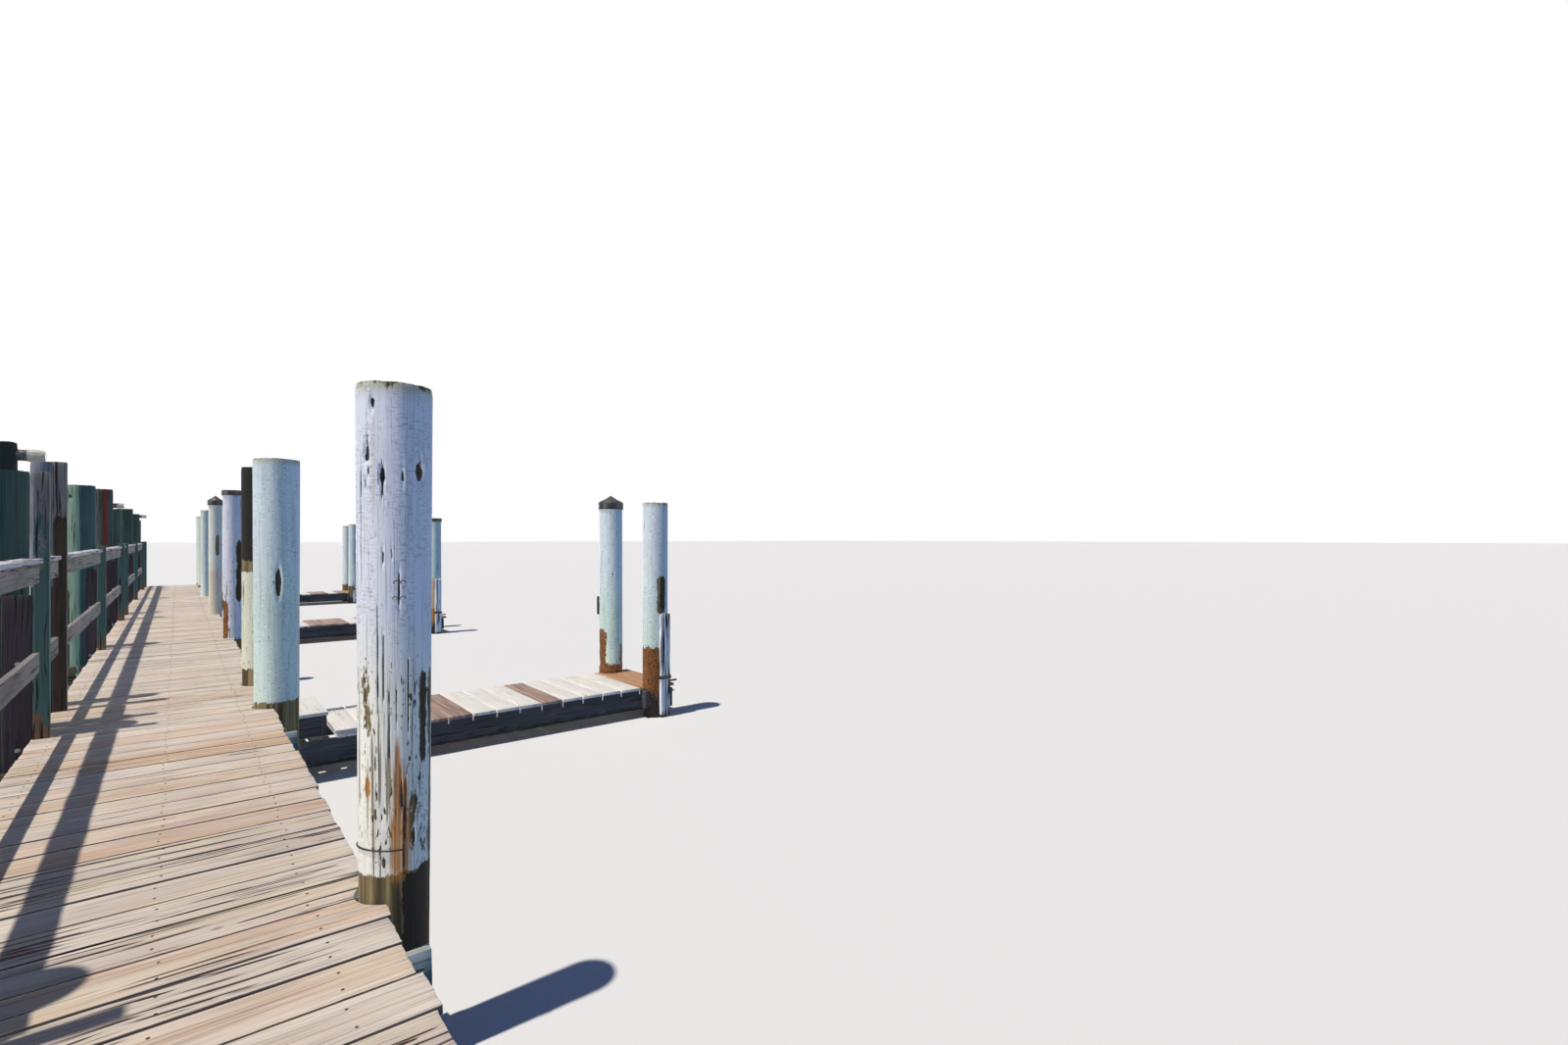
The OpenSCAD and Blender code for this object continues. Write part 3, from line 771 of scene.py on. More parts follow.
def lay_walk():
    """Cross boards of each bay. Gives the places of the nails that hold them to the three stringers."""
    nails = []
    for bay in range(1, 7):
        low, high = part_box(f"deck_bay_{bay}")
        count = round((high.y - low.y) / BOARD_PITCH)
        pitch = (high.y - low.y) / count
        tones = SECOND_BAY_TONES if bay == 2 else ()
        boards = []
        for index in range(count):
            tone = tones[index] if index < len(tones) else board_tone()
            if bay == 1 and count - 1 - index < len(FIRST_BAY_TONES):
                tone = FIRST_BAY_TONES[count - 1 - index]
            at_end = index in (0, count - 1)
            gap = chance.choice((0.006, 0.009, 0.011, 0.014, 0.018))
            start = low.y + index * pitch + gap / 2
            stop = low.y + (index + 1) * pitch - gap / 2
            left = low.x + (0 if at_end else chance.uniform(0, 0.012))
            right = high.x - (0 if at_end else chance.choice((0.0, 0.004, 0.009, 0.014, 0.02)))
            top = high.z - chance.uniform(0, 0.0025)
            board = timber(
                walk_board if bay <= 2 else walk_board_far, f"board_{bay}_{index}", (left, start, low.z),
                (right, stop, top), 0, bay * 40 + index, tone,
                ends=0.012, sides=0.0018, face=0.0018, cup=chance.uniform(0, 0.002),
            )
            notch(board, right_cutters + left_cutters + post_cutters)
            points = points_of(board)
            middle = (start + stop) / 2
            # The long sides of each board are darkened below its top face: painted shade in the gaps between
            # boards.
            edge = ramp((np.abs(points[:, 1] - middle) - (stop - start) / 2 + 0.012) / 0.008)
            dark = edge * ramp((top - 0.0015 - points[:, 2]) / 0.004) * 1.3
            boards.append(mark_grain(board, wear=wear_of(points, black=dark)))
            for line in STRINGER_LINES:
                for side in (0.25, 0.75):
                    x = line + chance.uniform(-0.012, 0.012)
                    nails.append((x, start + (stop - start) * side, top - 0.0014))
        hand_over(join(boards, f"walk_boards_{bay}"), walk_timber, "deck_boards", f"deck_bay_{bay}")
    return nails


def scatter(head, shape, places, name, material):
    """A copy of a small head, in the given shape, at each place. All are joined into one piece."""
    copies = []
    for place in places:
        piece = copy_of(head, name)
        move_points(piece, shape + np.array(place))
        copies.append(piece)
    bpy.data.objects.remove(head)
    hand_over(join(copies, name), material, None)


def drive_nails(places):
    """Nail heads sunk a little into the boards, all copied from one."""
    bpy.ops.mesh.primitive_cylinder_add(vertices=8, radius=0.0056, depth=0.003)
    head = added("nail_head")
    open_piece(head)
    pick(head, "FACE", facing(2))
    bpy.ops.mesh.inset(thickness=0.0015, depth=0.0006)
    close_piece()
    scatter(head, points_of(head), places, "walk_nails", rusty_steel)


def cap_marks(points, low, high, index):
    """Blue-green paint on the right end of a cap board, with a pale top."""
    tint = tint_of(points, (74, 112, 122), np.clip((points[:, 0] - high[0] + 0.3) / 0.15, 0, 1.2))
    tint[points[:, 2] > high[2] - 0.02, :3] = srgb(206, 210, 206)[:3]
    return {"tint": tint}


def build_framing():
    """Stringers, and the cap boards that clamp the piles."""
    finish = (framing_timber, "framing")
    for side in ("left", "middle", "right"):
        node = f"stringer_{side}"
        seed = 300 + boxes(node)[0][0][0]
        sawn_set(node, f"{node}_timber", stringer_blank, seed, finish, (0.1, 0.5, 0.5))
    tone = (0.1, 0.5, 0.6)
    sawn_set("bent_caps", "pile_clamps", beam_blank, 320, finish, tone, cap_marks, ends=0.008, sides=0.004)


def post_marks(points, low, high, index):
    """Green stain up the posts and rust at their feet. The fourth is brown towards the camera."""
    height = points[:, 2] - DECK_TOP
    rust = ramp(0.8 - height / 0.5) * (0.3 if index == 3 else 0.9)
    wear = wear_of(points, rust=rust, black=ramp(0.5 - np.abs(height + 0.02) / 0.16))
    tint = tint_of(points, (78, 106, 98), np.clip(1.5 - height / (2.4 if index > 3 else 1.5), 0, 0.9))
    if index == 3:
        near_face = points[:, 1] < low[1] + 0.02
        tint[:, 3] = np.where(near_face, 1.2, 0.8) * ramp((1.75 - height) / 0.2)
        tint[near_face, :3] = srgb(66, 54, 44)[:3]
        tint[~near_face, :3] = srgb(118, 124, 110)[:3]
    return {"wear": wear, "tint": tint}


def build_fence():
    """Posts, rails, the bleached cap board and the dark planks beside the left piles."""
    finish = (fence_wood, "fence_timber")

    def post_tone(index):
        return (0.15, 0.5, 0.6) if index % 3 else (0.05, 0.44, 0.7)

    def rail_tone(index):
        return 0.05, chance.uniform(0.55, 0.75), 0.55

    def plank_tone(index):
        return 0.2, chance.uniform(0.35, 0.6), 0.5

    sawn_set(
        "fence_posts", "posts_sawn", post_blank, 400, finish, post_tone, post_marks, ends=0.008, sides=0.002
    )
    sawn_set("top_rail", "top_rail_boards", long_timber, 438, finish, rail_tone, sides=0.004)
    sawn_set("middle_rail", "middle_rail_boards", long_timber, 441, finish, rail_tone, sides=0.004)

    caps = []
    for index, (low, high) in enumerate(boxes("rail_cap")):
        cap = timber(
            long_timber, f"cap_board_{index}", low, high, 1, 470 + index, (0, 0.6, 0.7),
            ends=0.02, sides=0.003, face=0.004,
        )
        points = points_of(cap)
        middle = (low[0] + high[0]) / 2
        wave = 0.012 * bumps(points[:, [1, 0, 2]] * (1, 0, 0), 0.11, 1.0, 480 + index)
        reach = np.abs(points[:, 0] - middle) / (high[0] - middle)
        points[:, 0] -= np.sign(points[:, 0] - middle) * wave * reach ** 2
        move_points(cap, points)
        notch(cap, left_cutters)
        caps.append(mark_grain(cap))
    hand_over(join(caps, "rail_cap_boards"), cap_wood, "fence_cap", "rail_cap")

    # The inner planks reach on behind the posts, so that no gap shows beside them
    places = boxes("pile_planks")
    for low, high in places:
        if high[0] > -2.7:
            high[0] = -2.65
    finish = (plank_wood, "dark_planks")
    sawn_set(
        "pile_planks", "dark_upright_planks", short_timber, 500, finish, plank_tone, places=places,
        ends=0.01, sides=0.003,
    )


def lay_finger_boards(number, bare):
    """White cross boards with bare ones between, the last two worn and rusty."""
    low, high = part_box(f"finger_deck_{number}")
    count = round((high.x - low.x) / FINGER_PITCH)
    pitch = (high.x - low.x) / count
    boards = []
    for index in range(count):
        gap = chance.choice((0.006, 0.008, 0.01))
        start, stop = low.x + index * pitch + gap / 2, low.x + (index + 1) * pitch - gap / 2
        near = low.y + (0 if index in (0, count - 1) else chance.uniform(0, 0.01))
        board = timber(
            walk_board_far, f"finger_board_{number}_{index}", (start, near, low.z), (stop, high.y, high.z), 1,
            600 + number * 30 + index, (0.5, 0.5, 0.3), ends=0.008, sides=0.002, face=0.0015,
        )
        notch(board, finger_cutters[number])
        points = points_of(board)
        if index in bare:
            wear = wear_of(points, gone=1.2)
        elif index > count - 3:
            wear = wear_of(points, gone=0.75, rust=0.4)
        else:
            wear = wear_of(points, gone=0.12 + 0.2 * ramp(1 - (points[:, 1] - low.y) / 0.12))
        boards.append(mark_grain(board, wear=wear, paint=srgb(238, 233, 222)))
    hand_over(join(boards, f"finger_boards_{number}"), board_paint, "finger_boards", f"finger_deck_{number}")


def beam_marks(points, low, high, index):
    return {"wear": wear_of(points, black=ramp(0.72 - (points[:, 2] - low[2]) / 0.17))}


def tread_marks(points, low, high, index):
    return {"wear": wear_of(points, gone=0.1), "paint": srgb(240, 236, 226)}


def fender_marks(points, low, high, index):
    return {"wear": wear_of(points, rust=ramp(0.7 - points[:, 2] / 0.3))}


def build_fingers():
    """The low finger piers with their boards, beams, bearers and fenders, and the step down to each."""
    bare = {1: (3, 4, 8), 2: (0, 1, 2, 4, 5, 6, 8, 9, 11, 12, 13), 3: (1, 3, 4, 7, 9, 10, 12)}
    for number in FINGERS:
        lay_finger_boards(number, bare[number])
        for turn, kind in enumerate(("beams", "bearers")):
            node = f"finger_{kind}_{number}"
            seed = 700 + number * 9 + turn
            sawn_set(
                node, f"{node}_timber", beam_blank, seed, (beam_wood, "finger_beams"), (0.1, 0.55, 0.5),
                beam_marks, ends=0.003, sides=0.003,
            )
        sawn_set(
            f"step_tread_{number}", f"step_tread_board_{number}", short_timber, 760 + number,
            (step_paint, "step_paint"), (0.5, 0.5, 0.4), tread_marks, ends=0.004,
        )
        sawn_set(
            f"step_box_{number}", f"step_sides_{number}", short_timber, 780 + number * 4,
            (beam_wood, "step_sides"), (0, 0.45, 0.4), ends=0.002,
        )
    sawn_set(
        "fender_boards", "fender_planks", short_timber, 800, (fender_timber, "fender_wood"), (0.1, 0.6, 0.9),
        fender_marks, ends=0.02, sides=0.006,
    )


# Round piles


def log_blank(name, sides, rows):
    """A turned log of radius 1 and length 1, cut into rows, with growth rings inset in its top."""
    bpy.ops.mesh.primitive_cylinder_add(vertices=sides, radius=1, depth=1, end_fill_type="NGON")
    blank = added(name)
    open_piece(blank)
    pick(blank, "EDGE", runs(2))
    bpy.ops.mesh.subdivide(number_cuts=rows)
    pick(blank, "FACE", facing(2))
    for step in (0.05, 0.08, 0.2, 0.25, 0.2):
        bpy.ops.mesh.inset(thickness=step)
    bpy.ops.mesh.poke()
    close_piece()
    blank.hide_render = True
    return blank


CHECK, HOLE = "check", "hole"
GONE, RUSTY, BLACK = 0, 1, 2


def press_flat(placed, middle, seats):
    """Flattens a log where its neighbours' boxes would cut into it."""
    for low, high in seats:
        inside = np.all((placed > low - 0.001) & (placed < high + 0.001), axis=1)
        for axis in (1, 0):
            if low[axis] > middle[axis]:
                placed[inside, axis] = low[axis] - 0.0005
                break
            if high[axis] < middle[axis]:
                placed[inside, axis] = high[axis] + 0.0005
                break


def set_log(
    blank, name, solid, seed, marks=(), bare=(), rust=(), black=(), scuffs=(), tints=(),
    paint=(220, 226, 234), low_paint=None, chips=(0.15, 0.3), cracking=(0.1, 0.25), turns=(1.6, 2.1),
    foot_bare=0.0, seats=(), top_wear=0.008, ragged=0.004, eaten=False,
):
    """One standing pile from a blank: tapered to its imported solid, weathered, holed, split, and flattened
    where timbers clamp it. A mark is a kind, a side from -1 left to 1 right as the camera sees it, a bottom,
    a top, a width and a depth; a patch is a side, a bottom, a top, a width and a strength. Chips and cracking
    are given for the upper and the lower part, which meet between the heights in turns."""
    high = solid.max(axis=0)
    top_ring = solid[solid[:, 2] > high[2] - 0.004]
    foot_ring = solid[solid[:, 2] < 0.004]
    middle = (foot_ring.min(axis=0) + foot_ring.max(axis=0)) / 2
    foot = np.ptp(foot_ring[:, 0]) / 2
    top = np.ptp(top_ring[:, 0]) / 2
    piece = copy_of(blank, name)
    piece.hide_render = False
    points = points_of(piece)
    share = points[:, 2] + 0.5
    spread = np.hypot(points[:, 0], points[:, 1])
    angle = np.arctan2(points[:, 1], points[:, 0])
    front = math.atan2(CAMERA_PLACE[1] - middle[1], CAMERA_PLACE[0] - middle[0])
    turn = (angle - front + math.pi) % (2 * math.pi) - math.pi
    height = share * high[2]
    radius = foot + (top - foot) * share
    skin = spread > 0.93
    around = np.stack((height, np.cos(angle) * radius, np.sin(angle) * radius), axis=1)

    upper = ramp((height - turns[0]) / (turns[1] - turns[0]))
    inward = 0.0022 * bumps(around, 0.5, 0.09, seed)
    inward += 0.0012 * bumps(around, 0.3, 0.02, seed + 1)
    inward += 0.0012 * bumps(around, 0.035, 0.03, seed + 2)
    wear = np.zeros((len(points), 3))

    def add_wear(part, values):
        wear[:, part] = np.maximum(wear[:, part], values)

    def gap_to(side):
        """How far round the log, in metres, each vertex is from a side. Beyond 1 is round the back."""
        aim = math.asin(side) if abs(side) <= 1 else math.copysign(math.pi, side) * (abs(side) - 0.5)
        return np.abs((turn - aim + math.pi) % (2 * math.pi) - math.pi) * radius

    def patch(side, bottom, up, width, strength):
        """The share of a patch at each vertex, with soft borders."""
        soft = min(0.08, (up - bottom) * 0.6)
        across = ramp(1.4 - 0.9 * gap_to(side) / width)
        tall = ramp((height - bottom) / soft + 0.5) * ramp((up - height) / soft + 0.5)
        return across * tall * strength

    for kind, side, bottom, up, width, depth in marks:
        if kind == CHECK:
            lean = 0.004 * rough(around * (1, 0, 0), 0.12, 1.0, seed + 5)
            within = ramp((height - bottom) / 0.04) * ramp((up - height) / 0.04)
            cut = ramp(1 - np.abs(gap_to(side) + lean) / width) * within
        else:
            centre, tall = (bottom + up) / 2, (up - bottom) / 2
            distance = np.hypot(gap_to(side) / width, (height - centre) / tall)
            cut = ramp(1.25 - distance)
        inward += depth * ramp(cut * 1.6)
        # Each hole and check is also coloured black: partly the dark bare wood inside it, partly painted shade.
        add_wear(BLACK, ramp(cut * 1.7))
    for part, patches in ((GONE, bare), (RUSTY, rust), (BLACK, black)):
        for place in patches:
            add_wear(part, patch(*place))
    chipped = chips[1] + (chips[0] - chips[1]) * upper
    cracked = cracking[1] + (cracking[0] - cracking[1]) * upper
    board = np.stack((chipped, np.zeros(len(points)), cracked), axis=1)
    for place in scuffs:
        board[:, 1] = np.maximum(board[:, 1], patch(*place))
    add_wear(GONE, np.clip((foot_bare - height) / 0.05 + 0.5, 0, 1.3))
    add_wear(BLACK, ramp(0.9 - height / max(foot_bare * 0.8, 0.2)))
    inward += 0.0012 * ramp(wear[:, GONE])

    crown = ramp((height - high[2] + 0.05) / 0.05)
    drop = top_wear * ramp(0.5 + 0.7 * rough(around, 0.5, 0.07, seed + 7)) * crown
    drop += top_wear * 0.5 * ramp(rough(around, 0.5, 0.01, seed + 8)) * crown
    add_wear(GONE, 0.5 * ramp((height - high[2] + 0.045) / 0.03))
    worn = np.where(skin, radius - inward - ragged * crown ** 3, radius)
    flat = points[:, :2] / np.maximum(spread, 1e-6)[:, None]
    placed = np.empty_like(points)
    placed[:, :2] = middle[:2] + flat * (worn * spread)[:, None]
    uneven = 0.002 * np.abs(rough(points, 1, 0.15, seed + 9))
    placed[:, 2] = np.minimum(np.where(share > 0.999, height - drop - uneven, height), high[2])
    press_flat(placed, middle, seats)
    move_points(piece, placed)

    offset = np.array((seed * 2.9, seed * 1.7, seed * 0.9)) % 40
    write_attribute(piece, "grain", around * np.where(skin, 1, spread)[:, None] ** (0, 1, 1) + offset)
    write_attribute(piece, "board", board)
    write_attribute(piece, "wear", wear)
    high_paint, low_paint = (np.array(srgb(*colour)[:3]) for colour in (paint, low_paint or paint))
    coat = low_paint + (high_paint - low_paint) * upper[:, None]
    stale = ramp((height - high[2] + 0.07) / 0.05)[:, None] * 0.85
    coat = coat + (np.array(srgb(176, 174, 140)[:3]) - coat) * stale
    write_attribute(piece, "paint", np.hstack((coat, np.full((len(points), 1), 0.0 if eaten else 1.0))))
    # Tints are stains and old paint, and on two left piles painted light and shade.
    tint = np.zeros((len(points), 4))
    for colour, *place in tints:
        share = patch(*place)
        tint[share > tint[:, 3], :3] = srgb(*colour)[:3]
        tint[:, 3] = np.maximum(tint[:, 3], share)
    write_attribute(piece, "tint", tint)
    return piece


log_first = log_blank("log_first", 288, 236)
log_second = log_blank("log_second", 176, 90)
log_plain = log_blank("log_plain", 64, 56)
log_finger = log_blank("log_finger", 112, 90)

clamps = boxes("bent_caps") + boxes("pile_planks")


def seats_near(solid, extra=()):
    """The boxes of the timbers that touch a pile."""
    low, high = solid.min(axis=0) - 0.02, solid.max(axis=0) + 0.02
    return [pair for pair in (*clamps, *extra) if np.all(pair[0] < high) and np.all(pair[1] > low)]


# The scars of the near pile
NEAR_PILE_MARKS = (
    (HOLE, -0.58, 2.772, 2.818, 0.012, 0.016),
    (HOLE, -0.73, 2.55, 2.625, 0.015, 0.018),
    (CHECK, -0.70, 2.59, 2.69, 0.0045, 0.010),
    (HOLE, -0.67, 2.505, 2.535, 0.005, 0.008),
    (HOLE, -0.75, 2.455, 2.49, 0.005, 0.006),
    (HOLE, -0.33, 2.46, 2.53, 0.0125, 0.02),
    (CHECK, -0.33, 2.39, 2.58, 0.0035, 0.010),
    (HOLE, 0.20, 2.475, 2.52, 0.0065, 0.012),
    (HOLE, 0.68, 2.48, 2.565, 0.023, 0.024),
    (CHECK, 0.70, 2.53, 2.62, 0.004, 0.009),
    (HOLE, -0.31, 2.14, 2.185, 0.006, 0.01),
    (CHECK, -0.08, 2.14, 2.215, 0.0035, 0.007),
    (CHECK, -0.86, 2.02, 2.60, 0.0045, 0.009),
    (CHECK, 0.11, 1.94, 2.11, 0.006, 0.014),
    (CHECK, -0.45, 1.5, 1.98, 0.003, 0.006),
    (CHECK, -0.15, 1.3, 1.62, 0.003, 0.006),
    (CHECK, 0.3, 0.95, 1.3, 0.004, 0.008),
    (CHECK, -0.52, 1.25, 1.36, 0.005, 0.008),
    (CHECK, -0.35, 1.06, 1.13, 0.004, 0.006),
    (CHECK, 0.63, 1.02, 1.12, 0.004, 0.006),
    (CHECK, 0.52, 0.94, 1.04, 0.009, 0.009),
    (HOLE, -0.6, 1.06, 1.1, 0.006, 0.006),
    (HOLE, -0.28, 1.1, 1.14, 0.005, 0.006),
    (HOLE, 0.7, 1.2, 1.24, 0.007, 0.006),
    (HOLE, 0.4, 1.3, 1.34, 0.005, 0.006),
    (CHECK, 0.05, 1.45, 1.62, 0.0035, 0.007),
    (CHECK, 0.36, 1.4, 1.75, 0.0035, 0.007),
    (CHECK, -0.3, 1.55, 1.86, 0.003, 0.006),
    (CHECK, 0.18, 1.1, 1.26, 0.006, 0.008),
)


def set_right_piles():
    """The tall painted piles along the berths, each with the scars the photograph shows."""
    looks = {
        0: dict(paint=(228, 232, 236), foot_bare=0.55),
        1: dict(
            paint=(236, 239, 250), low_paint=(244, 245, 236), chips=(0.2, 0.76), cracking=(0.05, 0.6),
            turns=(1.6, 1.95), foot_bare=0.85, marks=NEAR_PILE_MARKS, top_wear=0.006,
            bare=(
                (0.76, 1.29, 1.68, 0.02, 1.0), (-0.74, 1.42, 1.7, 0.035, 0.5),
                (-0.72, 1.175, 1.255, 0.013, 1.1), (0.96, 0.86, 1.7, 0.02, 0.7), (0.45, 0.9, 1.2, 0.02, 0.42),
                (-0.45, 1.2, 1.4, 0.02, 0.42), (0.75, 0.9, 1.15, 0.03, 0.45),
            ),
            rust=(
                (0.06, 0.84, 1.39, 0.008, 0.9), (0.1, 0.84, 1.3, 0.018, 1.0), (0.24, 0.84, 1.24, 0.014, 1.0),
                (-0.02, 0.84, 1.1, 0.012, 0.8), (0.34, 0.84, 1.1, 0.012, 0.7), (-0.72, 1.18, 1.25, 0.01, 1.1),
            ),
            black=(
                (0.78, 1.27, 1.69, 0.019, 0.78), (0.93, 1.25, 1.6, 0.02, 0.62),
                (0.24, 0.84, 1.16, 0.006, 0.6), (0.55, 0.0, 0.84, 0.05, 1.0), (0.9, 0.0, 0.85, 0.06, 1.0),
                (1.3, 0.0, 0.84, 0.14, 1.0),
            ),
            scuffs=(
                (0.05, 2.47, 2.5, 0.07, 0.9), (-0.3, 2.5, 2.8, 0.05, 0.5), (-0.2, 1.9, 2.3, 0.06, 0.45),
            ),
        ),
        2: dict(
            paint=(222, 238, 242), low_paint=(210, 232, 226), chips=(0.2, 0.4), cracking=(0.0, 0.2),
            foot_bare=0.79, scuffs=((-0.4, 1.0, 2.7, 0.12, 0.4),),
            marks=((HOLE, 0.08, 1.72, 1.98, 0.024, 0.03), (HOLE, -0.12, 1.84, 1.87, 0.004, 0.006)),
        ),
        3: dict(
            paint=(228, 228, 206), chips=(0.3, 0.6), cracking=(0.3, 0.5), foot_bare=0.9,
            bare=((-0.3, 1.9, 3.1, 0.3, 1.3),), black=((-0.1, 2.0, 3.1, 0.3, 0.85),),
        ),
        4: dict(
            paint=(228, 230, 242), chips=(0.5, 0.7), cracking=(0.2, 0.5), foot_bare=0.72,
            bare=((0.75, 1.3, 2.2, 0.05, 1.1), (-0.9, 0.7, 1.3, 0.08, 1.1)),
            black=((0.8, 1.3, 2.2, 0.05, 0.9),), eaten=True, rust=((-0.85, 0.7, 1.3, 0.07, 1.1),),
        ),
        5: dict(
            paint=(228, 232, 216), chips=(0.3, 0.6), cracking=(0.1, 0.4), foot_bare=0.72,
            bare=((0.3, 1.9, 2.3, 0.03, 1.1),), rust=((0.1, 0.75, 1.6, 0.2, 0.25),),
        ),
        6: dict(paint=(224, 230, 238), foot_bare=0.76),
        7: dict(paint=(214, 230, 224), foot_bare=0.7),
        8: dict(paint=(220, 228, 208), chips=(0.3, 0.6), foot_bare=0.8),
        9: dict(paint=(212, 228, 222), chips=(0.3, 0.6), foot_bare=0.8),
    }
    blanks = {1: log_first, 2: log_second}
    logs = []
    for index, solid in enumerate(solids("right_piles")):
        blank, seed = blanks.get(index, log_plain), 31 + index * 7
        log = set_log(blank, f"right_log_{index}", solid, seed, seats=seats_near(solid), **looks[index])
        logs.append(log)
    hand_over(logs.pop(1), pile_paint, "painted_piles", "right_piles")
    hand_over(join(logs, "right_logs"), pile_paint, "painted_piles", "right_piles")


def set_left_piles():
    """Round piles behind the fence, in green preservative or bleached grey, one with a rust-red side. Two of
    them carry painted light and shade down their sides.
    """
    stains_and_painted_light = {
        2: [((82, 106, 96), 0, -1, 4, 9, 0.75)],
        # Pile 3 is darkened down its right side, beside the post: painted shade.
        3: [((54, 84, 74), -0.4, -1, 4, 0.12, 1.2), ((34, 42, 44), 0.6, -1, 4, 0.1, 1.0)],
        4: [((150, 150, 166), 0, -1, 4, 9, 1.0)],
        # Pile 5 has a pale mint band down its left side on dark teal: its mint paint, with painted light on the
        # left and painted shade on the rest.
        5: [((176, 206, 176), -0.5, -1, 4, 0.13, 1.4), ((84, 112, 110), 0.5, -1, 4, 9, 1.0)],
        6: [((92, 98, 94), 0, -1, 4, 9, 1.0), ((164, 74, 48), 0.25, 1.2, 4, 0.045, 1.3)],
    }
    scars = {
        4: ((HOLE, -0.1, 1.95, 2.3, 0.03, 0.016), (CHECK, 0.8, 2.7, 2.95, 0.012, 0.02)),
        5: ((HOLE, -0.5, 2.78, 2.83, 0.016, 0.02),),
    }
    rails = boxes("top_rail") + boxes("middle_rail")
    logs = []
    for index, solid in enumerate(solids("left_piles")):
        log = set_log(
            log_plain, f"left_log_{index}", solid, 131 + index * 7, marks=scars.get(index, ()),
            tints=stains_and_painted_light.get(index, ()), seats=seats_near(solid, rails), cracking=(0.5, 0.5),
        )
        logs.append(log)
    hand_over(join(logs, "left_logs"), green_timber, "green_piles", "left_piles")


def set_finger_piles():
    """The pair of piles at each finger's end."""
    looks = {
        (1, 0): dict(
            paint=(222, 234, 238), low_paint=(206, 228, 218), foot_bare=0.85, turns=(1.2, 1.9),
            bare=((0.5, 1.3, 1.75, 0.05, 1.2),), black=((0.6, 1.35, 1.75, 0.04, 1.0),),
            eaten=True, rust=((-0.1, -0.5, 0.86, 0.3, 1.2),),
        ),
        (1, 1): dict(
            paint=(220, 234, 240), low_paint=(204, 228, 218), foot_bare=0.42, turns=(1.2, 1.9),
            marks=((HOLE, 0.2, 1.72, 1.75, 0.012, 0.015), (HOLE, 0.2, 1.44, 1.47, 0.012, 0.015)),
            eaten=True, bare=((-0.75, 0.3, 0.9, 0.06, 1.0),),
            rust=((-0.75, -0.5, 0.98, 0.06, 1.2), (0.2, -0.5, 0.5, 0.3, 1.1), (0.85, -0.5, 0.8, 0.03, 1.0)),
        ),
        (2, 0): dict(paint=(210, 230, 224), foot_bare=0.6, rust=((-0.3, 0.3, 1.3, 0.1, 0.6),)),
        (2, 1): dict(paint=(216, 232, 228), foot_bare=0.6),
        (3, 0): dict(paint=(218, 232, 228), foot_bare=0.6),
        (3, 1): dict(paint=(218, 232, 228), foot_bare=0.6),
    }
    for number in FINGERS:
        extra = boxes(f"finger_bearers_{number}") + boxes("fender_boards")
        blank = log_finger if number == 1 else log_plain
        logs = []
        for index, solid in enumerate(solids(f"finger_piles_{number}")):
            name, seed = f"finger_log_{number}_{index}", 231 + number * 14 + index
            log = set_log(blank, name, solid, seed, seats=seats_near(solid, extra), **looks[number, index])
            logs.append(log)
        hand_over(join(logs, f"finger_logs_{number}"), pile_paint, "painted_piles", f"finger_piles_{number}")


def set_hoods():
    """Black moulded hoods: two with a cone, two flat."""
    kinds = (
        ("cone_hoods", "hood_cones", 0.09, ((0.93, 0.12), (0.5, 0.36), (0.14, 0.4), (0.02, 0.08))),
        ("flat_hoods", "hood_flats", 0.072, ((0.9, 0.6), (0.4, 0.3), (0.3, 0.06))),
    )
    for node, name, skirt, steps in kinds:
        hoods = []
        for low, high in boxes(node):
            x, y = (low[:2] + high[:2]) / 2
            bpy.ops.mesh.primitive_cylinder_add(
                vertices=48, radius=(high[0] - low[0]) / 2, depth=skirt, end_fill_type="NGON",
                location=(x, y, low[2] + skirt / 2),
            )
            hood = added(name)
            centre = (x, y, low[2] + skirt)
            open_piece(hood)
            pick(hood, "FACE", facing(2, -1))
            bpy.ops.mesh.delete(type="FACE")
            pick(hood, "FACE", facing(2))
            rise = high[2] - low[2] - skirt
            for size, lift in steps:
                bpy.ops.mesh.extrude_region_move(TRANSFORM_OT_translate={"value": (0, 0, rise * lift)})
                bpy.ops.transform.resize(value=(size, size, 1), center_override=centre)
            close_piece()
            finish_with(hood, "SOLIDIFY", thickness=0.006, offset=-1)
            round_edges(hood, 0.002)
            hoods.append(hood)
        hand_over(join(hoods, name), black_plastic, "pile_hoods", node, smooth=30)


def spot_on(solid, side, reach, height):
    """A place this far out from a pile's middle, at a side that goes from -1 left to 1 right as the camera
    sees it, and the angle of the way out to it."""
    middle = (solid.min(axis=0) + solid.max(axis=0)) / 2
    angle = math.atan2(CAMERA_PLACE[1] - middle[1], CAMERA_PLACE[0] - middle[0]) + math.asin(side)
    return (middle[0] + reach * math.cos(angle), middle[1] + reach * math.sin(angle), height), angle


def cut_ring(ring, test):
    """Takes out the part of a ring whose faces pass a test, and closes it at both cuts."""
    open_piece(ring)
    pick(ring, "FACE", test)
    bpy.ops.mesh.delete(type="FACE")
    bpy.ops.mesh.select_all(action="SELECT")
    bpy.ops.mesh.fill_holes(sides=0)
    close_piece()
    return ring


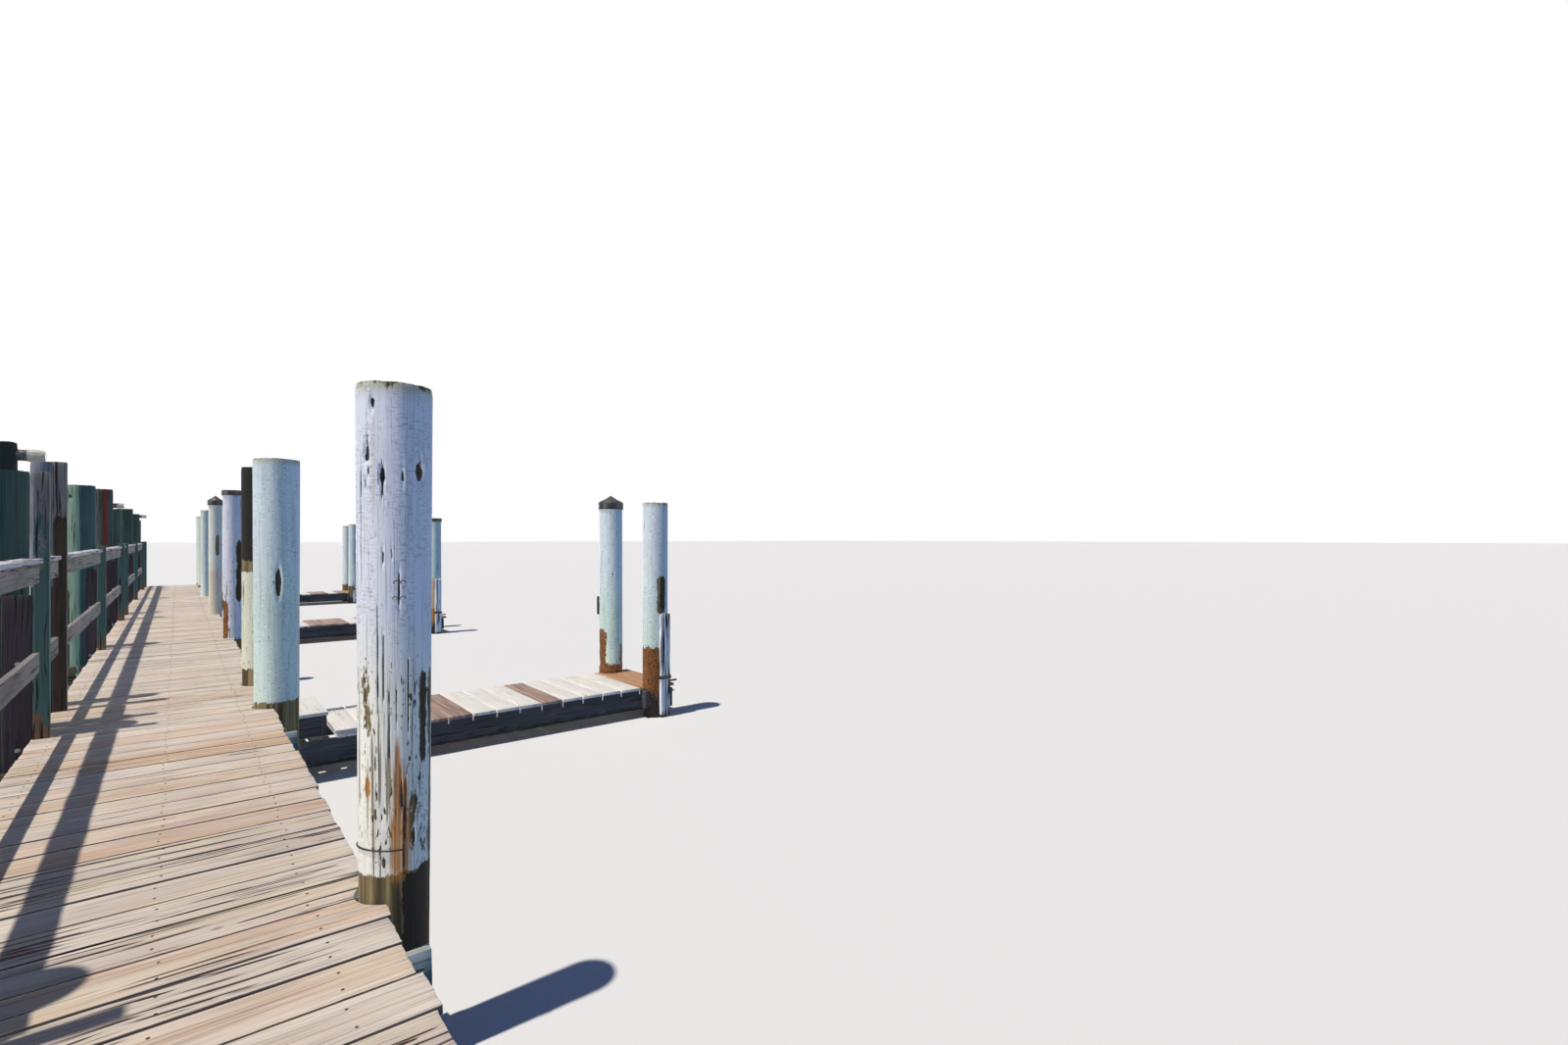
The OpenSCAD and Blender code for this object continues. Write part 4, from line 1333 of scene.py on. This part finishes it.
def fix_wire():
    """A thin black wire drawn round the near pile, with two pairs of rusty staples higher up."""
    solid = solids("right_piles")[1]
    middle, front = spot_on(solid, 0, 0, 0.951)
    bpy.ops.mesh.primitive_torus_add(
        major_segments=120, minor_segments=8, major_radius=0.1396, minor_radius=0.0038, location=middle
    )

    def off_the_end(face):
        place = face.calc_center_median()
        turn = (math.atan2(place.y - middle[1], place.x - middle[0]) - front) % (2 * math.pi)
        return 0.2 < turn < 2.4

    wire = cut_ring(added("pile_wire"), off_the_end)
    points = points_of(wire)
    turn = np.arctan2(points[:, 1] - middle[1], points[:, 0] - middle[0]) - front
    points[:, 2] += 0.006 * np.cos(turn * 2 + 2.0)
    move_points(wire, points)
    hand_over(wire, black_plastic, None, smooth=60)

    loops = []
    for side, height in ((0.03, 2.055), (0.21, 2.055), (0.01, 1.99), (0.2, 1.99)):
        place, angle = spot_on(solid, side, 0.134 + 0.015 * height / 2.89, height)
        bpy.ops.mesh.primitive_torus_add(
            major_segments=16, minor_segments=6, major_radius=0.0095, minor_radius=0.0018, location=place,
            rotation=(0, math.radians(90), angle),
        )
        foot = height - 0.0095 * 0.2
        loops.append(cut_ring(added("pile_staple"), lambda face: face.calc_center_median().z < foot))
    hand_over(join(loops, "pile_staples"), rusty_steel, None)


def hang_drips():
    """Short runs of white paint that dried below the board joints along the first finger."""
    low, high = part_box("finger_deck_1")
    count = round((high.x - low.x) / FINGER_PITCH)
    pitch = (high.x - low.x) / count
    drips = []
    for index in range(2, count - 1):
        length = chance.uniform(0.03, 0.048)
        x = low.x + index * pitch + chance.uniform(-0.004, 0.004)
        place = (x, low.y + 0.007, low.z - length / 2 + 0.001)
        bpy.ops.mesh.primitive_cube_add(size=1, scale=(0.011, 0.008, length), location=place)
        drip = added("paint_drip")
        open_piece(drip)
        pick(drip, "FACE", facing(2, -1))
        bpy.ops.mesh.inset(thickness=0.0015)
        bpy.ops.mesh.extrude_region_move(TRANSFORM_OT_translate={"value": (0, 0, -0.004)})
        close_piece()
        round_edges(drip, 0.0025)
        drips.append(drip)
    hand_over(join(drips, "paint_drips"), dried_paint, "finger_boards")


def strap_fenders():
    """The strap and pin that hold each fender board, and the cleat on the far pile of the first finger."""
    irons = []

    def iron(name, size, place, corner=0.003):
        bpy.ops.mesh.primitive_cube_add(size=1, scale=size, location=place)
        piece = added(name)
        open_piece(piece)
        pick(piece, "EDGE", runs(int(np.argmax(size))))
        bpy.ops.mesh.subdivide(number_cuts=5)
        close_piece()
        round_edges(piece, corner)
        irons.append(piece)

    for low, high in boxes("fender_boards"):
        middle = (low + high) / 2
        width = high[0] - low[0]
        iron("fender_strap", (width + 0.016, 0.007, 0.045), (middle[0], low[1] - 0.0035, 0.5))
        for x in (low[0] - 0.0045, high[0] + 0.0045):
            iron("fender_strap_side", (0.007, high[1] - low[1], 0.045), (x, middle[1], 0.5))
        iron("fender_pin", (0.1, 0.024, 0.024), (high[0] + 0.052, middle[1], 0.447), corner=0.008)
    cleat_place = spot_on(solids("finger_piles_1")[1], -0.98, 0.174, 1.31)[0]
    iron("pile_cleat", (0.03, 0.03, 0.25), cleat_place, corner=0.008)
    hand_over(join(irons, "fender_irons"), black_plastic, None)


def lamp_round(name, low, high, sides, clearance):
    """A cylinder along X in the place of a lamp's solid."""
    bpy.ops.mesh.primitive_cylinder_add(
        vertices=sides, radius=(high[1] - low[1]) / 2 - clearance, depth=high[0] - low[0],
        rotation=(0, math.radians(90), 0), location=(low + high) / 2,
    )
    return added(name)


def hang_lamps():
    """A small lamp on three left piles: a grey socket and a fluted cream jar."""
    sockets, jars = [], []
    for low, high in boxes("lamp_brackets"):
        socket = lamp_round("lamp_socket", low, high, 32, 0.001)
        open_piece(socket)
        pick(socket, "FACE", facing(0))
        bpy.ops.mesh.inset(thickness=0.008)
        bpy.ops.mesh.extrude_region_move(TRANSFORM_OT_translate={"value": (-0.012, 0, 0)})
        close_piece()
        round_edges(socket, 0.003)
        sockets.append(socket)
    hand_over(join(sockets, "lamp_sockets"), grey_metal, "lamp_brackets", "lamp_brackets")
    for low, high in boxes("lamp_jars"):
        jar = lamp_round("lamp_jar", low, high, 72, 0.0003)
        open_piece(jar)
        pick(jar, "EDGE", runs(0))
        bpy.ops.mesh.subdivide(number_cuts=9)
        pick(jar, "FACE", facing(0))
        bpy.ops.mesh.inset(thickness=0.014)
        bpy.ops.mesh.inset(thickness=0.012)
        close_piece()
        points = points_of(jar)
        middle = (low + high) / 2
        way = np.arctan2(points[:, 2] - middle[2], points[:, 1] - middle[1])
        along = (points[:, 0] - low[0]) / (high[0] - low[0])
        flute = 1 - 0.06 * (0.5 - 0.5 * np.cos(way * 12)) * ramp(along * 8) * ramp((1 - along) * 8)
        flute *= 1 - 0.16 * along ** 3
        points[:, 1:] = middle[1:] + (points[:, 1:] - middle[1:]) * flute[:, None]
        move_points(jar, points)
        jars.append(jar)
    hand_over(join(jars, "lamp_lenses"), cream_glass, "lamp_jars", "lamp_jars")


def drive_bolts():
    """Bolt heads with washers on the near faces of the upright planks and the clamps, copied from one."""
    bpy.ops.mesh.primitive_cylinder_add(vertices=14, radius=0.016, depth=0.003)
    head = added("bolt_head")
    open_piece(head)
    pick(head, "FACE", facing(2))
    bpy.ops.mesh.inset(thickness=0.005)
    bpy.ops.mesh.extrude_region_move(TRANSFORM_OT_translate={"value": (0, 0, 0.008)})
    bpy.ops.mesh.inset(thickness=0.003, depth=0.0015)
    close_piece()
    places = []
    for low, high in boxes("pile_planks"):
        middle = (low[0] + high[0]) / 2
        places += [(middle + 0.01, low[1] + 0.0015, z + chance.uniform(-0.01, 0.01)) for z in (0.66, 1.31)]
    for low, high in boxes("bent_caps")[::2]:
        places += [(x, low[1] + 0.001, 0.39 + chance.uniform(-0.01, 0.01)) for x in (-2.83, -1.2)]
    towards_near = points_of(head)[:, [0, 2, 1]] * (1, -1, 1)
    scatter(head, towards_near, places, "bolt_heads", bolt_zinc)


def drop_helpers():
    """Removes the blanks and cutters."""
    for piece in list(bpy.context.scene.objects):
        if piece.type == "MESH" and piece.hide_render and "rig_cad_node" not in piece:
            bpy.data.objects.remove(piece)


def lay_floor():
    """A plain floor that looks pale but throws little light back."""
    bpy.ops.mesh.primitive_plane_add(size=900)
    floor = added("studio_floor")
    material, plan, skin = begin_material("pale_floor")
    skin.inputs["Base Color"].default_value = srgb(243, 242, 238)
    dim = plan.add("ShaderNodeBsdfPrincipled", {"Base Color": srgb(66, 88, 122)})
    for shader in (skin, dim):
        shader.inputs["Roughness"].default_value = 0.9
        shader.inputs["Specular IOR Level"].default_value = 0.1
    choices = {0: seen_directly(plan), 1: Value(plan, dim.outputs[0]), 2: Value(plan, skin.outputs[0])}
    chosen = plan.run("ShaderNodeMixShader", choices)
    plan.feed(material.node_tree.nodes["Material Output"].inputs["Surface"], chosen)
    floor.data.materials.append(material)


place_camera()
light_studio()
lay_floor()
drive_nails(lay_walk())
build_framing()
build_fence()
build_fingers()
set_right_piles()
set_left_piles()
set_finger_piles()
set_hoods()
hang_lamps()
drive_bolts()
fix_wire()
hang_drips()
strap_fenders()
drop_helpers()
